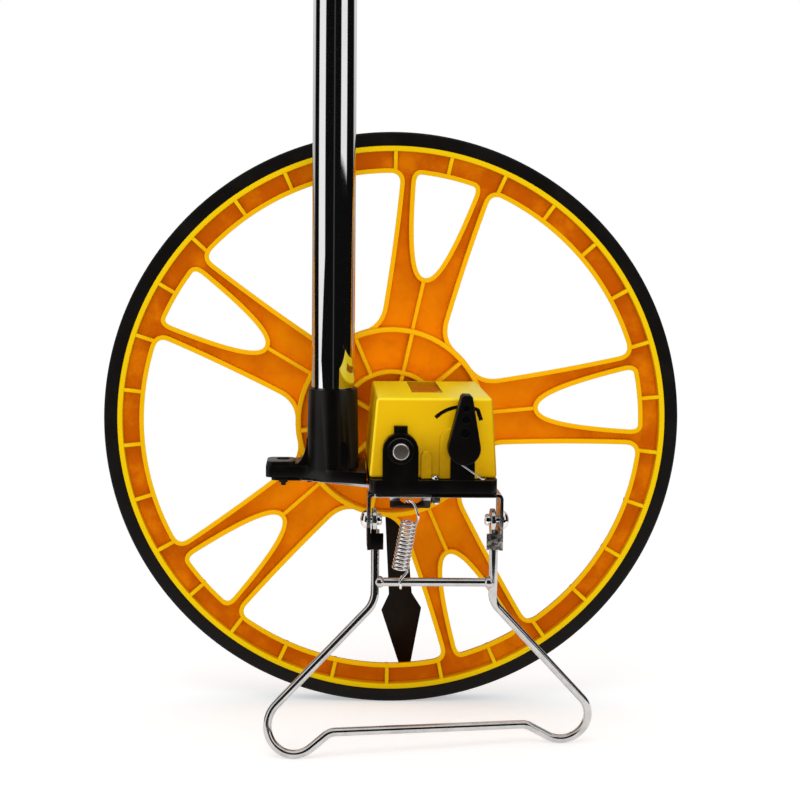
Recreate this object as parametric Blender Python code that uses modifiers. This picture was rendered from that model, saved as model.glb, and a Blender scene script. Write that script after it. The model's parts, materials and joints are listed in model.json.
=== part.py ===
"""Measuring wheel with a geared counter, a telescopic handle and a wire stand.

Metres, +Z up, Blender 4.5. Every piece is drawn in the axle's own frame: the axle runs
along Y, the counter side faces -Y, X runs to the right and the axle's centre is at X = 0
and Z = 0. The empty called stance then leans this frame onto the stand and sets the part
on the ground, so that the tyre's edge and the two feet touch Z = 0.
"""

import math

import bmesh
import bpy
from mathutils import Matrix, Vector

# Stance
LEAN_ANGLE = math.radians(6.53)

# Clearances shared by pieces that touch
SEAT_GAP = 0.0003
SLIDE_GAP = 0.0005
CUT_OVERRUN = 0.002
WELD_DISTANCE = 0.000002
SCREW_MERGE = 0.00001
FLAT_ANGLE = math.radians(0.2)

# Roundness of turned shapes, in flats
TYRE_FLATS = 66
WHEEL_FLATS = 60
HUB_FLATS = 40
TUBE_FLATS = 24
SHAFT_FLATS = 16
PIN_FLATS = 10

# Tyre
TYRE_RADIUS = 0.15915
TYRE_THICKNESS = 0.00735
TYRE_WIDTH = 0.0200
TYRE_EDGE = 0.0012

# Wheel moulding
SPOKE_COUNT = 5
RIM_RIB_COUNT = 30
HUB_RIB_COUNT = 10
SPOKE_ANGLE = math.radians(5.5)
RIM_WALL = 0.0029
RIM_CHANNEL = 0.0093
WINDOW_WALL = 0.0026
RIM_PROUD = 0.0010
CHANNEL_DEPTH = 0.0052
FLOOR_THICKNESS = 0.0020
BACK_LIP = 0.0008
RIM_RIB_WIDTH = 0.0021
RIB_SETBACK = 0.0004
SPOKE_HALF_AT_HUB = 0.0181
SPOKE_HALF_AT_RIM = 0.0258
WINDOW_HUB_RADIUS = 0.0531
WINDOW_HUB_TRIM = 0.0110
WINDOW_RIM_TRIM = 0.0060
ARM_APEX = 0.0787
ARM_HALF_AT_RIM = 0.0171
ARM_RIM_TRIM = 0.0026
ARM_SPREAD_POWER = 0.94
HUB_RING_RADIUS = 0.0526
HUB_RING_WALL = 0.0027
HUB_PROUD = 0.0061
HUB_RIB_WIDTH = 0.0021
INNER_RING_RADIUS = 0.0292
INNER_RING_WALL = 0.0023
HUB_TUBE_RADIUS = 0.0110
HUB_TUBE_PROUD = 0.0095
HUB_TUBE_BACK = 0.0210

# Axle and what it carries
AXLE_RADIUS = 0.0040
AXLE_FRONT = 0.1005
AXLE_CHAMFER = 0.0005
AXLE_COLLAR_RADIUS = 0.0065
AXLE_COLLAR_WIDTH = 0.0035
AXLE_TAIL_RADIUS = 0.0030
AXLE_TAIL_LENGTH = 0.0090
NUT_ACROSS = 0.0100
NUT_THICKNESS = 0.0045
WASHER_RADIUS = 0.0065
WASHER_THICKNESS = 0.0006

# Pointer
POINTER_THICKNESS = 0.0015
POINTER_TILT = math.radians(4.0)
POINTER_EYE_RADIUS = 0.0085
POINTER_NECK_HALF = 0.0050
POINTER_NECK_FLARE = 0.0016
POINTER_HEAD_TOP = 0.1040
POINTER_HEAD_HALF = 0.0115
POINTER_SHOULDER = 0.0090
POINTER_SHORTFALL = 0.00315
POINTER_LENGTH = TYRE_RADIUS - POINTER_SHORTFALL
POINTER_TIP_HALF = 0.0006

# Base plate, its boss and its post
PLATE_LEFT = 0.0146
PLATE_RIGHT = 0.0470
PLATE_FRONT = 0.0970
PLATE_BACK = 0.0150
PLATE_TOP = 0.0143
PLATE_THICKNESS = 0.0065
PLATE_CORNER = 0.0040
BOSS_RADIUS = 0.0086
BOSS_DEPTH = 0.0047
BOSS_TAB_WIDTH = 0.0066
BOSS_TAB_HEIGHT = 0.0033
BOSS_TAB_DEPTH = 0.0022
BOSS_TAB_NOTCH = 0.0030
PEDESTAL_FRONT = 0.0310
PEDESTAL_DEPTH = 0.0050
POST_WIDTH = 0.0117
POST_THICKNESS = 0.0023

# Axle bushes
BUSH_WALL = 0.0016
BUSH_FLANGE = 0.0022
BUSH_FLANGE_THICKNESS = 0.0009

# Counter housing
HOUSING_LEFT = 0.0149
HOUSING_RIGHT = 0.0471
HOUSING_FRONT = 0.0920
HOUSING_BACK = 0.0164
HOUSING_TOP = 0.0249
HOUSING_DRAFT_LEFT = 0.0033
HOUSING_DRAFT_RIGHT = 0.0025
HOUSING_DRAFT_BACK = 0.0040
HOUSING_WALL = 0.0020
HOUSING_EDGE = 0.0016
HOUSING_EDGE_STEPS = 2
PAD_LEFT = 0.0192
PAD_RIGHT = 0.0380
PAD_TOP = 0.0102
PAD_CORNER = 0.0055
PAD_PROUD = 0.0010
STUB_LEFT = 0.0102
STUB_WIDTH = 0.0048
STUB_TOP = 0.0009
STUB_PROUD = 0.0013
WINDOW_LEFT = 0.0069
WINDOW_RIGHT = 0.0223
WINDOW_FRONT = 0.0697
LENS_FLANGE = 0.0018
LENS_FLANGE_THICKNESS = 0.0012

# Counter
COUNTER_X = 0.0146
COUNTER_Z = 0.0119
DRUM_RADIUS = 0.0090
DRUM_WIDTH = 0.0066
DRUM_SPACING = 0.0090
DRUM_COUNT = 5
DRUM_FRONT = 0.0702
DRUM_BORE_GAP = 0.0003
DRUM_GEAR_RADIUS = 0.0079
DRUM_GEAR_WIDTH = 0.0014
DRUM_GEAR_TEETH = 6
DRUM_TOOTH = 0.0009
COUNTER_SHAFT_RADIUS = 0.0015
COUNTER_HUB_RADIUS = 0.0040
GEAR_TEETH = 16
GEAR_ADDENDUM = 0.0008
GEAR_DEDENDUM = 0.0012
GEAR_WIDTH = 0.0042
GEAR_FRONT = 0.0764
GEAR_TOOTH_SHARE = 0.40
PINION_ANGLE = math.radians(-40.0)
PINION_RADIUS = 0.0024
PINION_TEETH = 6
PINION_TOOTH = 0.0008
PINION_WIDTH = 0.0017
PINION_SHAFT_RADIUS = 0.0008
FRAME_SHEET = 0.0010
FRAME_LEFT = 0.0095
FRAME_RIGHT = 0.0350
FRAME_TOP = 0.0175
FRAME_SLOPE_X = 0.0110
FRAME_SLOPE_Z = 0.0095

# Reset lever
LEVER_X = 0.0300
LEVER_Z = 0.0019
LEVER_TILT = math.radians(-2.2)
LEVER_RADIUS = 0.0078
LEVER_REACH = 0.0260
LEVER_TIP_HALF = 0.0027
LEVER_TIP_ROUND = 0.0010
LEVER_FRONT = 0.1034
LEVER_FACE_THICKNESS = 0.0016
LEVER_WALL = 0.0013
LEVER_SHAFT_RADIUS = 0.0025
LEVER_EDGE = 0.0004
DIMPLE_REACH = (0.0076, 0.0141, 0.0195)
DIMPLE_RADIUS = (0.0023, 0.0019, 0.0017)
DIMPLE_DEPTH = 0.0007
GUIDE_REACH = 0.0188
GUIDE_PIN_RADIUS = 0.0005
GUIDE_START = math.radians(134.0)
GUIDE_END = math.radians(62.0)
GUIDE_TAIL = 0.0040
COMB_REACH = 0.0086
COMB_SHEET = 0.0012
COMB_COLLAR = 0.0042
RESET_COIL_RADIUS = 0.0039
RESET_WIRE_RADIUS = 0.0004
RESET_COIL_TURNS = 3
RESET_COIL_PITCH = 0.0011
RESET_LEG_DROP = 0.0073
RESET_LEG_SIDE = 0.0025
RESET_LEG_END = 0.0094

# Screws and nuts
SCREW_RADIUS = 0.00135
SCREW_HEAD_RADIUS = 0.0021
SCREW_HEAD_HEIGHT = 0.0018
SCREW_GAP = 0.0003
SCREW_TAIL = 0.0015
SMALL_NUT_RADIUS = 0.0026
SMALL_NUT_THICKNESS = 0.0022
PLATE_SCREW_X = (0.0171, -0.0080, 0.0400)
PLATE_SCREW_Y = (-0.0947, -0.0230, -0.0245)
FLANGE_SCREW_X = (-0.0580, -0.0445, -0.0205)
FLANGE_SCREW_Y = (-0.0455, -0.0370, -0.0370)

# Stand bracket
BRACKET_SHEET = 0.0016
STAND_X = 0.0171
LEG_HALF = 0.0288
EAR_OUTSIDE = 0.0040
BRACKET_LEFT = LEG_HALF + EAR_OUTSIDE - STAND_X
BRACKET_RIGHT = STAND_X + LEG_HALF + EAR_OUTSIDE
BRACKET_BEND = 0.0024
EAR_FRONT = 0.0961
EAR_BACK = 0.0800
EAR_BOTTOM = 0.0486
EAR_CORNER = 0.0060
STOP_WIDTH = 0.0078
STOP_HEIGHT = 0.0080
WEB_FRONT = 0.0968
WEB_BACK = 0.0160
WING_LEFT = 0.0640
WING_BACK = 0.0320
HOOK_TAB_LEFT = 0.0050
HOOK_TAB_RIGHT = 0.0146
HOOK_TAB_BOTTOM = 0.0278
HOOK_SLOT_HALF = 0.0052
HOOK_SLOT_X = 0.0051
HOOK_SLOT_BOTTOM = 0.0256
HOOK_SLOT_TOP = 0.0229

# Stand wire
WIRE_RADIUS = 0.0021
PIVOT_Y = 0.0905
PIVOT_Z = 0.0347
CROSS_Y = 0.0922
CROSS_Z = 0.0652
LEG_BEND_Z = 0.0750
LEG_BEND_RADIUS = 0.0120
FOOT_TURN_RADIUS = 0.0130
FOOT_TURN_HALF = 0.0662
FOOT_SIDE = 0.0014
BAR_HALF = 0.0490
BAR_RISE_LEFT = 0.0101
BAR_RISE_RIGHT = 0.0076
BAR_BEND_RADIUS = 0.0080
FOOT_LEFT_Y = 0.1098
FOOT_RIGHT_Y = 0.0815
WELD_RADIUS = 0.0029
LEG_EYE_RADIUS = 0.0055
LEG_EYE_THICKNESS = 0.0024
LEG_EYE_DROP = 0.0100
LEG_EYE_SHIFT = 0.0005
WIRE_SIDES_RESOLUTION = 2

# Pivot rivets
RIVET_RADIUS = 0.0020
RIVET_HEAD_RADIUS = 0.0045
RIVET_HEAD_HEIGHT = 0.0030
RIVET_TAIL_RADIUS = 0.0029
RIVET_TAIL_LENGTH = 0.0022

# Stand spring
SPRING_WIRE_RADIUS = 0.0005
SPRING_COIL_RADIUS = 0.0036
SPRING_TURNS = 13
SPRING_TOP = Vector((0.0043, -0.0972, -0.0340))
SPRING_BOTTOM = Vector((0.0004, -0.0936, -0.0587))
SPRING_POINTS_PER_TURN = 7
SPRING_HOOK_RADIUS = 0.0030

# Pole socket
POLE_X = 0.0325
POLE_Y = 0.0540
SOCKET_TOP = 0.0252
SOCKET_TOP_RADIUS = 0.0126
SOCKET_FOOT_RADIUS = 0.0133
SOCKET_FLOOR = 0.0130
FLANGE_TOP = 0.0150
FLANGE_LEFT = 0.0668
FLANGE_RIGHT = 0.0157
FLANGE_BACK = 0.0310
FLANGE_FRONT_LEFT = 0.0570
FLANGE_FRONT_RIGHT = 0.0748
FLANGE_CORNER = 0.0030
EAR_PAD_WIDTH = 0.0145
EAR_PAD_DEPTH = 0.0150
EAR_PAD_HEIGHT = 0.0020
EAR_PAD_ROUND = 0.0035
EAR_DIP_RADIUS = 0.0036
GUSSET_HEIGHT = 0.0145
GUSSET_REACH = 0.0075
GUSSET_THICKNESS = 0.0030
KEY_RIB_X = 0.0062
KEY_RIB_WIDTH = 0.0034
KEY_RIB_TOP = 0.0008
KEY_RIB_PROUD = 0.0030

# Telescopic pole
POLE_RADIUS = 0.0110
POLE_WALL = 0.0010
LOWER_TUBE_BOTTOM = 0.0126
LOWER_TUBE_TOP = 0.2400
MIDDLE_RADIUS = 0.0094
MIDDLE_WALL = 0.0009
MIDDLE_TUBE_BOTTOM = 0.0200
UPPER_RADIUS = 0.0078
UPPER_WALL = 0.0009
UPPER_TUBE_BOTTOM = 0.0450
COLLAR_WALL = 0.0034
COLLAR_HEIGHT = 0.0300
COLLAR_OVERLAP = 0.0160
COLLAR_CHAMFER = 0.0012
COLLAR_WAIST = 0.0008
WAIST_SHARE = 0.45
GRIP_LENGTH = 0.1150
GRIP_WALL = 0.0060
GRIP_RIDGES = 5
GRIP_RIDGE = 0.0009
GRIP_CAP = 0.0040
GRIP_OVERLAP = 0.1080

FRONT = Matrix(((1, 0, 0, 0), (0, 0, -1, 0), (0, 1, 0, 0), (0, 0, 0, 1)))
TOP = Matrix.Identity(4)
SIDE = Matrix(((0, 0, 1, 0), (1, 0, 0, 0), (0, 1, 0, 0), (0, 0, 0, 1)))
ALONG_X = Matrix(((0, 0, 1, 0), (1, 0, 0, 0), (0, 1, 0, 0), (0, 0, 0, 1)))
ALONG_Y = Matrix(((1, 0, 0, 0), (0, 0, 1, 0), (0, -1, 0, 0), (0, 0, 0, 1)))
ALONG_Z = Matrix.Identity(4)

PARTS = []


# Scene

def clear_scene():
    for item in list(bpy.data.objects):
        bpy.data.objects.remove(item, do_unlink=True)


def parts_collection():
    name = "measuring_wheel"
    found = bpy.data.collections.get(name)
    if found is None:
        found = bpy.data.collections.new(name)
        bpy.context.scene.collection.children.link(found)
    return found


def make_material(name, colour, roughness, metallic=0.0, alpha=1.0):
    material = bpy.data.materials.get(name)
    if material is None:
        material = bpy.data.materials.new(name)
    material.use_nodes = True
    shader = material.node_tree.nodes["Principled BSDF"]
    shader.inputs["Base Color"].default_value = (*colour, 1.0)
    shader.inputs["Roughness"].default_value = roughness
    shader.inputs["Metallic"].default_value = metallic
    shader.inputs["Alpha"].default_value = alpha
    return material


# Solids

def object_from(name, data):
    item = bpy.data.objects.new(name, data)
    parts_collection().objects.link(item)
    return item


def bake(item):
    """Turn an object and its modifiers into a closed mesh in the axle's frame."""
    bpy.context.view_layer.update()
    depsgraph = bpy.context.evaluated_depsgraph_get()
    mesh = bpy.data.meshes.new_from_object(item.evaluated_get(depsgraph))
    mesh.transform(item.matrix_basis)
    name = item.name
    bpy.data.objects.remove(item, do_unlink=True)
    shape = bmesh.new()
    shape.from_mesh(mesh)
    bmesh.ops.remove_doubles(shape, verts=shape.verts, dist=WELD_DISTANCE)
    bmesh.ops.recalc_face_normals(shape, faces=shape.faces)
    bmesh.ops.dissolve_limit(shape, angle_limit=FLAT_ANGLE, verts=shape.verts, edges=shape.edges)
    shape.to_mesh(mesh)
    shape.free()
    return object_from(name, mesh)


def prism(name, loops, low, high, plane):
    """Flat outlines filled and pushed from low to high across their plane."""
    curve = bpy.data.curves.new(name, "CURVE")
    curve.dimensions = "2D"
    curve.fill_mode = "BOTH"
    curve.extrude = (high - low) / 2
    for loop in loops:
        spline = curve.splines.new("POLY")
        spline.points.add(len(loop) - 1)
        for point, place in zip(spline.points, loop):
            point.co = (place[0], place[1], 0, 1)
        spline.use_cyclic_u = True
    item = object_from(name, curve)
    middle = (high + low) / 2
    if plane is FRONT:
        middle = -middle
    item.matrix_basis = plane @ Matrix.Translation((0, 0, middle))
    return bake(item)


def box(name, low, high):
    mesh = bpy.data.meshes.new(name)
    shape = bmesh.new()
    bmesh.ops.create_cube(shape, size=1)
    size = Vector(high) - Vector(low)
    middle = (Vector(high) + Vector(low)) / 2
    bmesh.ops.transform(shape, verts=shape.verts, matrix=Matrix.Diagonal((*size, 1)))
    bmesh.ops.translate(shape, verts=shape.verts, vec=middle)
    shape.to_mesh(mesh)
    shape.free()
    return object_from(name, mesh)


def ball(name, centre, radius, segments, rings):
    mesh = bpy.data.meshes.new(name)
    shape = bmesh.new()
    bmesh.ops.create_uvsphere(shape, u_segments=segments, v_segments=rings, radius=radius)
    bmesh.ops.translate(shape, verts=shape.verts, vec=Vector(centre))
    shape.to_mesh(mesh)
    shape.free()
    return object_from(name, mesh)


def turned(name, profile, flats, axis, centre, closed=True):
    """Revolve (radius, place along the axis) points with a Screw modifier."""
    mesh = bpy.data.meshes.new(name)
    points = [(radius, 0, along) for radius, along in profile]
    edges = [(i, i + 1) for i in range(len(points) - 1)]
    if closed:
        edges.append((len(points) - 1, 0))
    mesh.from_pydata(points, edges, [])
    item = object_from(name, mesh)
    screw = item.modifiers.new("turn", "SCREW")
    screw.angle = 2 * math.pi
    screw.steps = flats
    screw.render_steps = flats
    screw.use_merge_vertices = True
    screw.merge_threshold = SCREW_MERGE
    item.matrix_basis = Matrix.Translation(centre) @ axis
    return bake(item)


def cylinder(name, radius, low, high, flats, axis, centre):
    profile = [(0, low), (radius, low), (radius, high), (0, high)]
    return turned(name, profile, flats, axis, centre, closed=False)


def pipe(name, inner, outer, low, high, flats, axis, centre):
    profile = [(inner, low), (outer, low), (outer, high), (inner, high)]
    return turned(name, profile, flats, axis, centre)


def wire(name, points, radius, resolution):
    curve = bpy.data.curves.new(name, "CURVE")
    curve.dimensions = "3D"
    curve.bevel_depth = radius
    curve.bevel_resolution = resolution
    curve.use_fill_caps = True
    spline = curve.splines.new("POLY")
    spline.points.add(len(points) - 1)
    for point, place in zip(spline.points, points):
        point.co = (*place, 1)
    return bake(object_from(name, curve))


def join(name, items):
    """Several separate bodies kept in one object."""
    mesh = bpy.data.meshes.new(name)
    shape = bmesh.new()
    for item in items:
        shape.from_mesh(item.data)
        bpy.data.objects.remove(item, do_unlink=True)
    shape.to_mesh(mesh)
    shape.free()
    return object_from(name, mesh)


def combine(target, tool, operation):
    modifier = target.modifiers.new(operation.lower(), "BOOLEAN")
    modifier.operation = operation
    modifier.solver = "EXACT"
    modifier.object = tool
    name = target.name
    result = bake(target)
    bpy.data.objects.remove(tool, do_unlink=True)
    result.name = name
    return result


def add(target, *tools):
    for tool in tools:
        target = combine(target, tool, "UNION")
    return target


def cut(target, *tools):
    for tool in tools:
        target = combine(target, tool, "DIFFERENCE")
    return target


def soften(item, width, segments, angle=math.radians(40)):
    bevel = item.modifiers.new("soften", "BEVEL")
    bevel.width = width
    bevel.segments = segments
    bevel.limit_method = "ANGLE"
    bevel.angle_limit = angle
    return bake(item)


def finish(item, name, material, stance, origin=(0, 0, 0)):
    """Name the piece, move its origin to its joint's axis and hang it on the stance."""
    mesh = item.data
    mesh.transform(Matrix.Translation(-Vector(origin)))
    mesh.materials.clear()
    mesh.materials.append(material)
    mesh.shade_smooth()
    mesh.set_sharp_from_angle(angle=math.radians(35))
    item.name = name
    mesh.name = name
    item.location = origin
    item.parent = stance
    PARTS.append(item)
    return item


def repeat(item, name, shift):
    """Another object with the same mesh, moved in the axle's frame."""
    copy = object_from(name, item.data)
    copy.location = item.location + Vector(shift)
    copy.parent = item.parent
    PARTS.append(copy)
    return copy


# Outlines

def ring_points(radius, count, centre=(0, 0), phase=0.0):
    points = []
    for i in range(count):
        angle = phase + 2 * math.pi * i / count
        points.append((centre[0] + radius * math.cos(angle), centre[1] + radius * math.sin(angle)))
    return points


def arc_points(centre, radius, start, end, steps):
    points = []
    for i in range(steps + 1):
        angle = start + (end - start) * i / steps
        points.append((centre[0] + radius * math.cos(angle), centre[1] + radius * math.sin(angle)))
    return points


def turned_by(points, angle, centre=(0, 0)):
    cosine = math.cos(angle)
    sine = math.sin(angle)
    result = []
    for x, z in points:
        dx = x - centre[0]
        dz = z - centre[1]
        result.append((centre[0] + cosine * dx - sine * dz, centre[1] + sine * dx + cosine * dz))
    return result


def rounded(corners, steps=4, closed=True):
    """Corners given as (place, radius); each radius becomes an arc tangent to both sides."""
    count = len(corners)
    points = []
    for i, (place, radius) in enumerate(corners):
        here = Vector(place)
        ends = i == 0 or i == count - 1
        if radius == 0 or (ends and not closed):
            points.append(tuple(here))
            continue
        before = (Vector(corners[i - 1][0]) - here).normalized()
        after = (Vector(corners[(i + 1) % count][0]) - here).normalized()
        half = before.angle(after) / 2
        trim = radius / math.tan(half)
        middle = here + (before + after).normalized() * (radius / math.sin(half))
        start = here + before * trim - middle
        end = here + after * trim - middle
        sweep = start.angle(end)
        for k in range(steps + 1):
            share = k / steps
            weight_a = math.sin((1 - share) * sweep) / math.sin(sweep)
            weight_b = math.sin(share * sweep) / math.sin(sweep)
            points.append(tuple(middle + start * weight_a + end * weight_b))
    return points


def offset_outline(points, distance):
    """Move a closed outline outwards by a distance, square to its sides."""
    area = 0
    count = len(points)
    for i in range(count):
        x0, z0 = points[i]
        x1, z1 = points[(i + 1) % count]
        area += x0 * z1 - x1 * z0
    sign = 1 if area > 0 else -1
    result = []
    for i in range(count):
        here = Vector(points[i])
        before = (here - Vector(points[i - 1])).normalized()
        after = (Vector(points[(i + 1) % count]) - here).normalized()
        normal_a = Vector((before.y, -before.x)) * sign
        normal_b = Vector((after.y, -after.x)) * sign
        middle = (normal_a + normal_b).normalized()
        reach = distance / max(middle.dot(normal_a), 0.5)
        result.append(tuple(here + middle * reach))
    return result


def gear_points(teeth, root, tip, phase, tooth_share):
    """Teeth whose flanks taper from root to tip; phase is the middle of one tooth."""
    points = []
    pitch = 2 * math.pi / teeth
    for i in range(teeth):
        middle = phase + i * pitch
        foot = pitch * tooth_share * 0.62
        crest = pitch * tooth_share * 0.34
        for radius, angle in ((root, -foot), (tip, -crest), (tip, crest), (root, foot)):
            turn = middle + angle
            points.append((radius * math.cos(turn), radius * math.sin(turn)))
    return points


def shifted(points, centre):
    return [(x + centre[0], z + centre[1]) for x, z in points]


def smooth_path(points, steps):
    """A curve through all the points, with steps pieces between each pair."""
    result = []
    last = len(points) - 1
    for i in range(last):
        p0 = Vector(points[max(i - 1, 0)])
        p1 = Vector(points[i])
        p2 = Vector(points[i + 1])
        p3 = Vector(points[min(i + 2, last)])
        for k in range(steps):
            t = k / steps
            place = 0.5 * ((2 * p1) + (p2 - p0) * t + (2 * p0 - 5 * p1 + 4 * p2 - p3) * t * t
                           + (3 * p1 - p0 - 3 * p2 + p3) * t * t * t)
            result.append(tuple(place))
    result.append(tuple(points[last]))
    return result


# Tyre and ground contact

def tyre_profile():
    bore = TYRE_RADIUS - TYRE_THICKNESS
    return [
        (bore, 0),
        (TYRE_RADIUS - TYRE_EDGE, 0),
        (TYRE_RADIUS, TYRE_EDGE),
        (TYRE_RADIUS, TYRE_WIDTH - TYRE_EDGE),
        (TYRE_RADIUS - TYRE_EDGE, TYRE_WIDTH),
        (bore, TYRE_WIDTH),
    ]


def contact_height():
    """World height of the leaning tyre's lowest point, from the axle's centre."""
    sine = math.sin(LEAN_ANGLE)
    cosine = math.cos(LEAN_ANGLE)
    return min(along * sine - radius * cosine for radius, along in tyre_profile())


def foot_height(foot_y):
    """Height in the axle's frame of a foot's centreline that stands on the ground."""
    sine = math.sin(LEAN_ANGLE)
    cosine = math.cos(LEAN_ANGLE)
    return (contact_height() + WIRE_RADIUS - foot_y * sine) / cosine


def make_tyre(stance, materials):
    ring = turned("tyre", tyre_profile(), TYRE_FLATS, ALONG_Y, (0, 0, 0))
    finish(ring, "tyre", materials["rubber"], stance)


# Wheel moulding

def window_rim_radius():
    bore = TYRE_RADIUS - TYRE_THICKNESS - SEAT_GAP
    return bore - RIM_WALL - RIM_CHANNEL - WINDOW_WALL


def spoke_half(along):
    rim = window_rim_radius()
    share = (along ** 2 - WINDOW_HUB_RADIUS ** 2) / (rim ** 2 - WINDOW_HUB_RADIUS ** 2)
    return SPOKE_HALF_AT_HUB + (SPOKE_HALF_AT_RIM - SPOKE_HALF_AT_HUB) * share


def spoke_along(radius):
    """Distance along a spoke at which its edge meets a circle."""
    along = radius
    for _ in range(12):
        along = math.sqrt(radius ** 2 - spoke_half(along) ** 2)
    return along


def blended(sides, trims, steps):
    """Join curved sides, given as functions of 0 to 1, with a round at each meeting."""
    points = []
    count = len(sides)
    for i, (side, length, samples) in enumerate(sides):
        start = trims[i - 1] / length
        end = 1 - trims[i] / length
        for k in range(samples + 1):
            points.append(side(start + (end - start) * k / samples))
        if trims[i] == 0:
            points.pop()
            continue
        following, next_length, _ = sides[(i + 1) % count]
        first = Vector(side(end))
        corner = Vector(side(1))
        last = Vector(following(trims[i] / next_length))
        for k in range(1, steps):
            t = k / steps
            place = first * (1 - t) ** 2 + corner * 2 * t * (1 - t) + last * t ** 2
            points.append(tuple(place))
    return points


def large_window(index):
    rim = window_rim_radius()
    base = SPOKE_ANGLE + 2 * math.pi * index / SPOKE_COUNT
    step = 2 * math.pi / SPOKE_COUNT
    near = spoke_along(WINDOW_HUB_RADIUS)
    far = spoke_along(rim)
    hub_turn = math.atan2(spoke_half(near), near)
    rim_turn = math.atan2(spoke_half(far), far)

    def edge(share, side, turn):
        along = near + (far - near) * share
        point = (along, side * spoke_half(along))
        return turned_by([point], turn)[0]

    def arc(share, radius, inset):
        turn = base + inset + (step - 2 * inset) * share
        return (radius * math.cos(turn), radius * math.sin(turn))

    sides = [
        (lambda t: edge(t, 1, base), far - near, 2),
        (lambda t: arc(t, rim, rim_turn), rim * (step - 2 * rim_turn), 5),
        (lambda t: edge(1 - t, -1, base + step), far - near, 2),
        (lambda t: arc(1 - t, WINDOW_HUB_RADIUS, hub_turn), WINDOW_HUB_RADIUS * (step - 2 * hub_turn), 1),
    ]
    trims = [WINDOW_RIM_TRIM, WINDOW_RIM_TRIM, WINDOW_HUB_TRIM, WINDOW_HUB_TRIM]
    return blended(sides, trims, 3)


def arm_window(index):
    rim = window_rim_radius()
    base = SPOKE_ANGLE + 2 * math.pi * index / SPOKE_COUNT
    far = math.sqrt(rim ** 2 - ARM_HALF_AT_RIM ** 2)
    turn = math.atan2(ARM_HALF_AT_RIM, far)

    def edge(share, side):
        along = ARM_APEX + (far - ARM_APEX) * share ** 2
        half = ARM_HALF_AT_RIM * share ** ARM_SPREAD_POWER
        return turned_by([(along, side * half)], base)[0]

    def arc(share):
        angle = base - turn + 2 * turn * share
        return (rim * math.cos(angle), rim * math.sin(angle))

    length = far - ARM_APEX
    sides = [
        (lambda t: edge(t, -1), length, 6),
        (arc, 2 * rim * turn, 2),
        (lambda t: edge(1 - t, 1), length, 6),
    ]
    return blended(sides, [ARM_RIM_TRIM, ARM_RIM_TRIM, 0], 2)


def radial_box(name, angle, inner, outer, width, low, high):
    """A rib that runs outwards along an angle, from low to high along Y."""
    half = width / 2
    loop = [(inner, -half), (outer, -half), (outer, half), (inner, half)]
    return prism(name, [turned_by(loop, angle)], low, high, FRONT)


def make_wheel(stance, materials):
    bore = TYRE_RADIUS - TYRE_THICKNESS - SEAT_GAP
    channel_outer = bore - RIM_WALL
    rim = window_rim_radius()
    channel_inner = rim + WINDOW_WALL
    front = -RIM_PROUD
    floor_front = front + CHANNEL_DEPTH
    floor_back = floor_front + FLOOR_THICKNESS
    back = floor_back + BACK_LIP
    ring_back = back - BACK_LIP / 2
    rib_front = front + RIB_SETBACK
    windows = [large_window(i) for i in range(SPOKE_COUNT)]
    windows += [arm_window(i) for i in range(SPOKE_COUNT)]

    outline = ring_points((bore + channel_outer) / 2, WHEEL_FLATS, phase=SPOKE_ANGLE)
    holes = [offset_outline(window, WINDOW_WALL / 2) for window in windows]
    holes.append(ring_points((HUB_TUBE_RADIUS + AXLE_RADIUS) / 2, SHAFT_FLATS))
    wheel = prism("floor", [outline] + holes, floor_front, floor_back, FRONT)

    walls = []
    for window in windows:
        loops = [offset_outline(window, WINDOW_WALL), window]
        walls.append(prism("wall", loops, front, back, FRONT))
    wheel = add(wheel, join("walls", walls))

    def ring(outer, wall, low, high, flats):
        loops = [ring_points(outer, flats, phase=SPOKE_ANGLE)]
        loops.append(ring_points(outer - wall, flats, phase=SPOKE_ANGLE))
        return prism("ring", loops, low, high, FRONT)

    rings = [
        ring(bore, RIM_WALL, front, TYRE_WIDTH, WHEEL_FLATS),
        ring(HUB_RING_RADIUS, HUB_RING_WALL, -HUB_PROUD, ring_back, HUB_FLATS),
        ring(INNER_RING_RADIUS, INNER_RING_WALL, -HUB_PROUD, ring_back, HUB_FLATS * 3 // 4),
        ring(HUB_TUBE_RADIUS, HUB_TUBE_RADIUS - AXLE_RADIUS - SEAT_GAP, -HUB_TUBE_PROUD,
             HUB_TUBE_BACK, SHAFT_FLATS),
    ]
    wheel = add(wheel, join("rings", rings))

    ribs = []
    rib_floor = floor_front + FLOOR_THICKNESS / 2
    for i in range(RIM_RIB_COUNT):
        angle = SPOKE_ANGLE + 2 * math.pi * i / RIM_RIB_COUNT
        inner = channel_inner - WINDOW_WALL / 2
        outer = bore - RIM_WALL / 2
        ribs.append(radial_box("rib", angle, inner, outer, RIM_RIB_WIDTH, rib_front, rib_floor))
    for i in range(HUB_RIB_COUNT):
        angle = SPOKE_ANGLE + 2 * math.pi * i / HUB_RIB_COUNT
        inner = INNER_RING_RADIUS - INNER_RING_WALL / 2
        outer = HUB_RING_RADIUS - HUB_RING_WALL * 2 / 3
        ribs.append(radial_box("rib", angle, inner, outer, HUB_RIB_WIDTH,
                               RIB_SETBACK - HUB_PROUD, rib_floor))
        if i % 2 == 0:
            inner = HUB_RING_RADIUS - HUB_RING_WALL / 3
            outer = ARM_APEX - WINDOW_WALL / 2
            ribs.append(radial_box("rib", angle, inner, outer, HUB_RIB_WIDTH, rib_front, rib_floor))
            inner = HUB_TUBE_RADIUS - RIM_WALL / 2
            outer = INNER_RING_RADIUS - INNER_RING_WALL * 2 / 3
            ribs.append(radial_box("rib", angle, inner, outer, HUB_RIB_WIDTH,
                                   RIB_SETBACK - HUB_PROUD, rib_floor))
    wheel = add(wheel, join("ribs", ribs))
    finish(wheel, "wheel", materials["wheel_yellow"], stance)


# Axle, gear, nut and pointer

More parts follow.
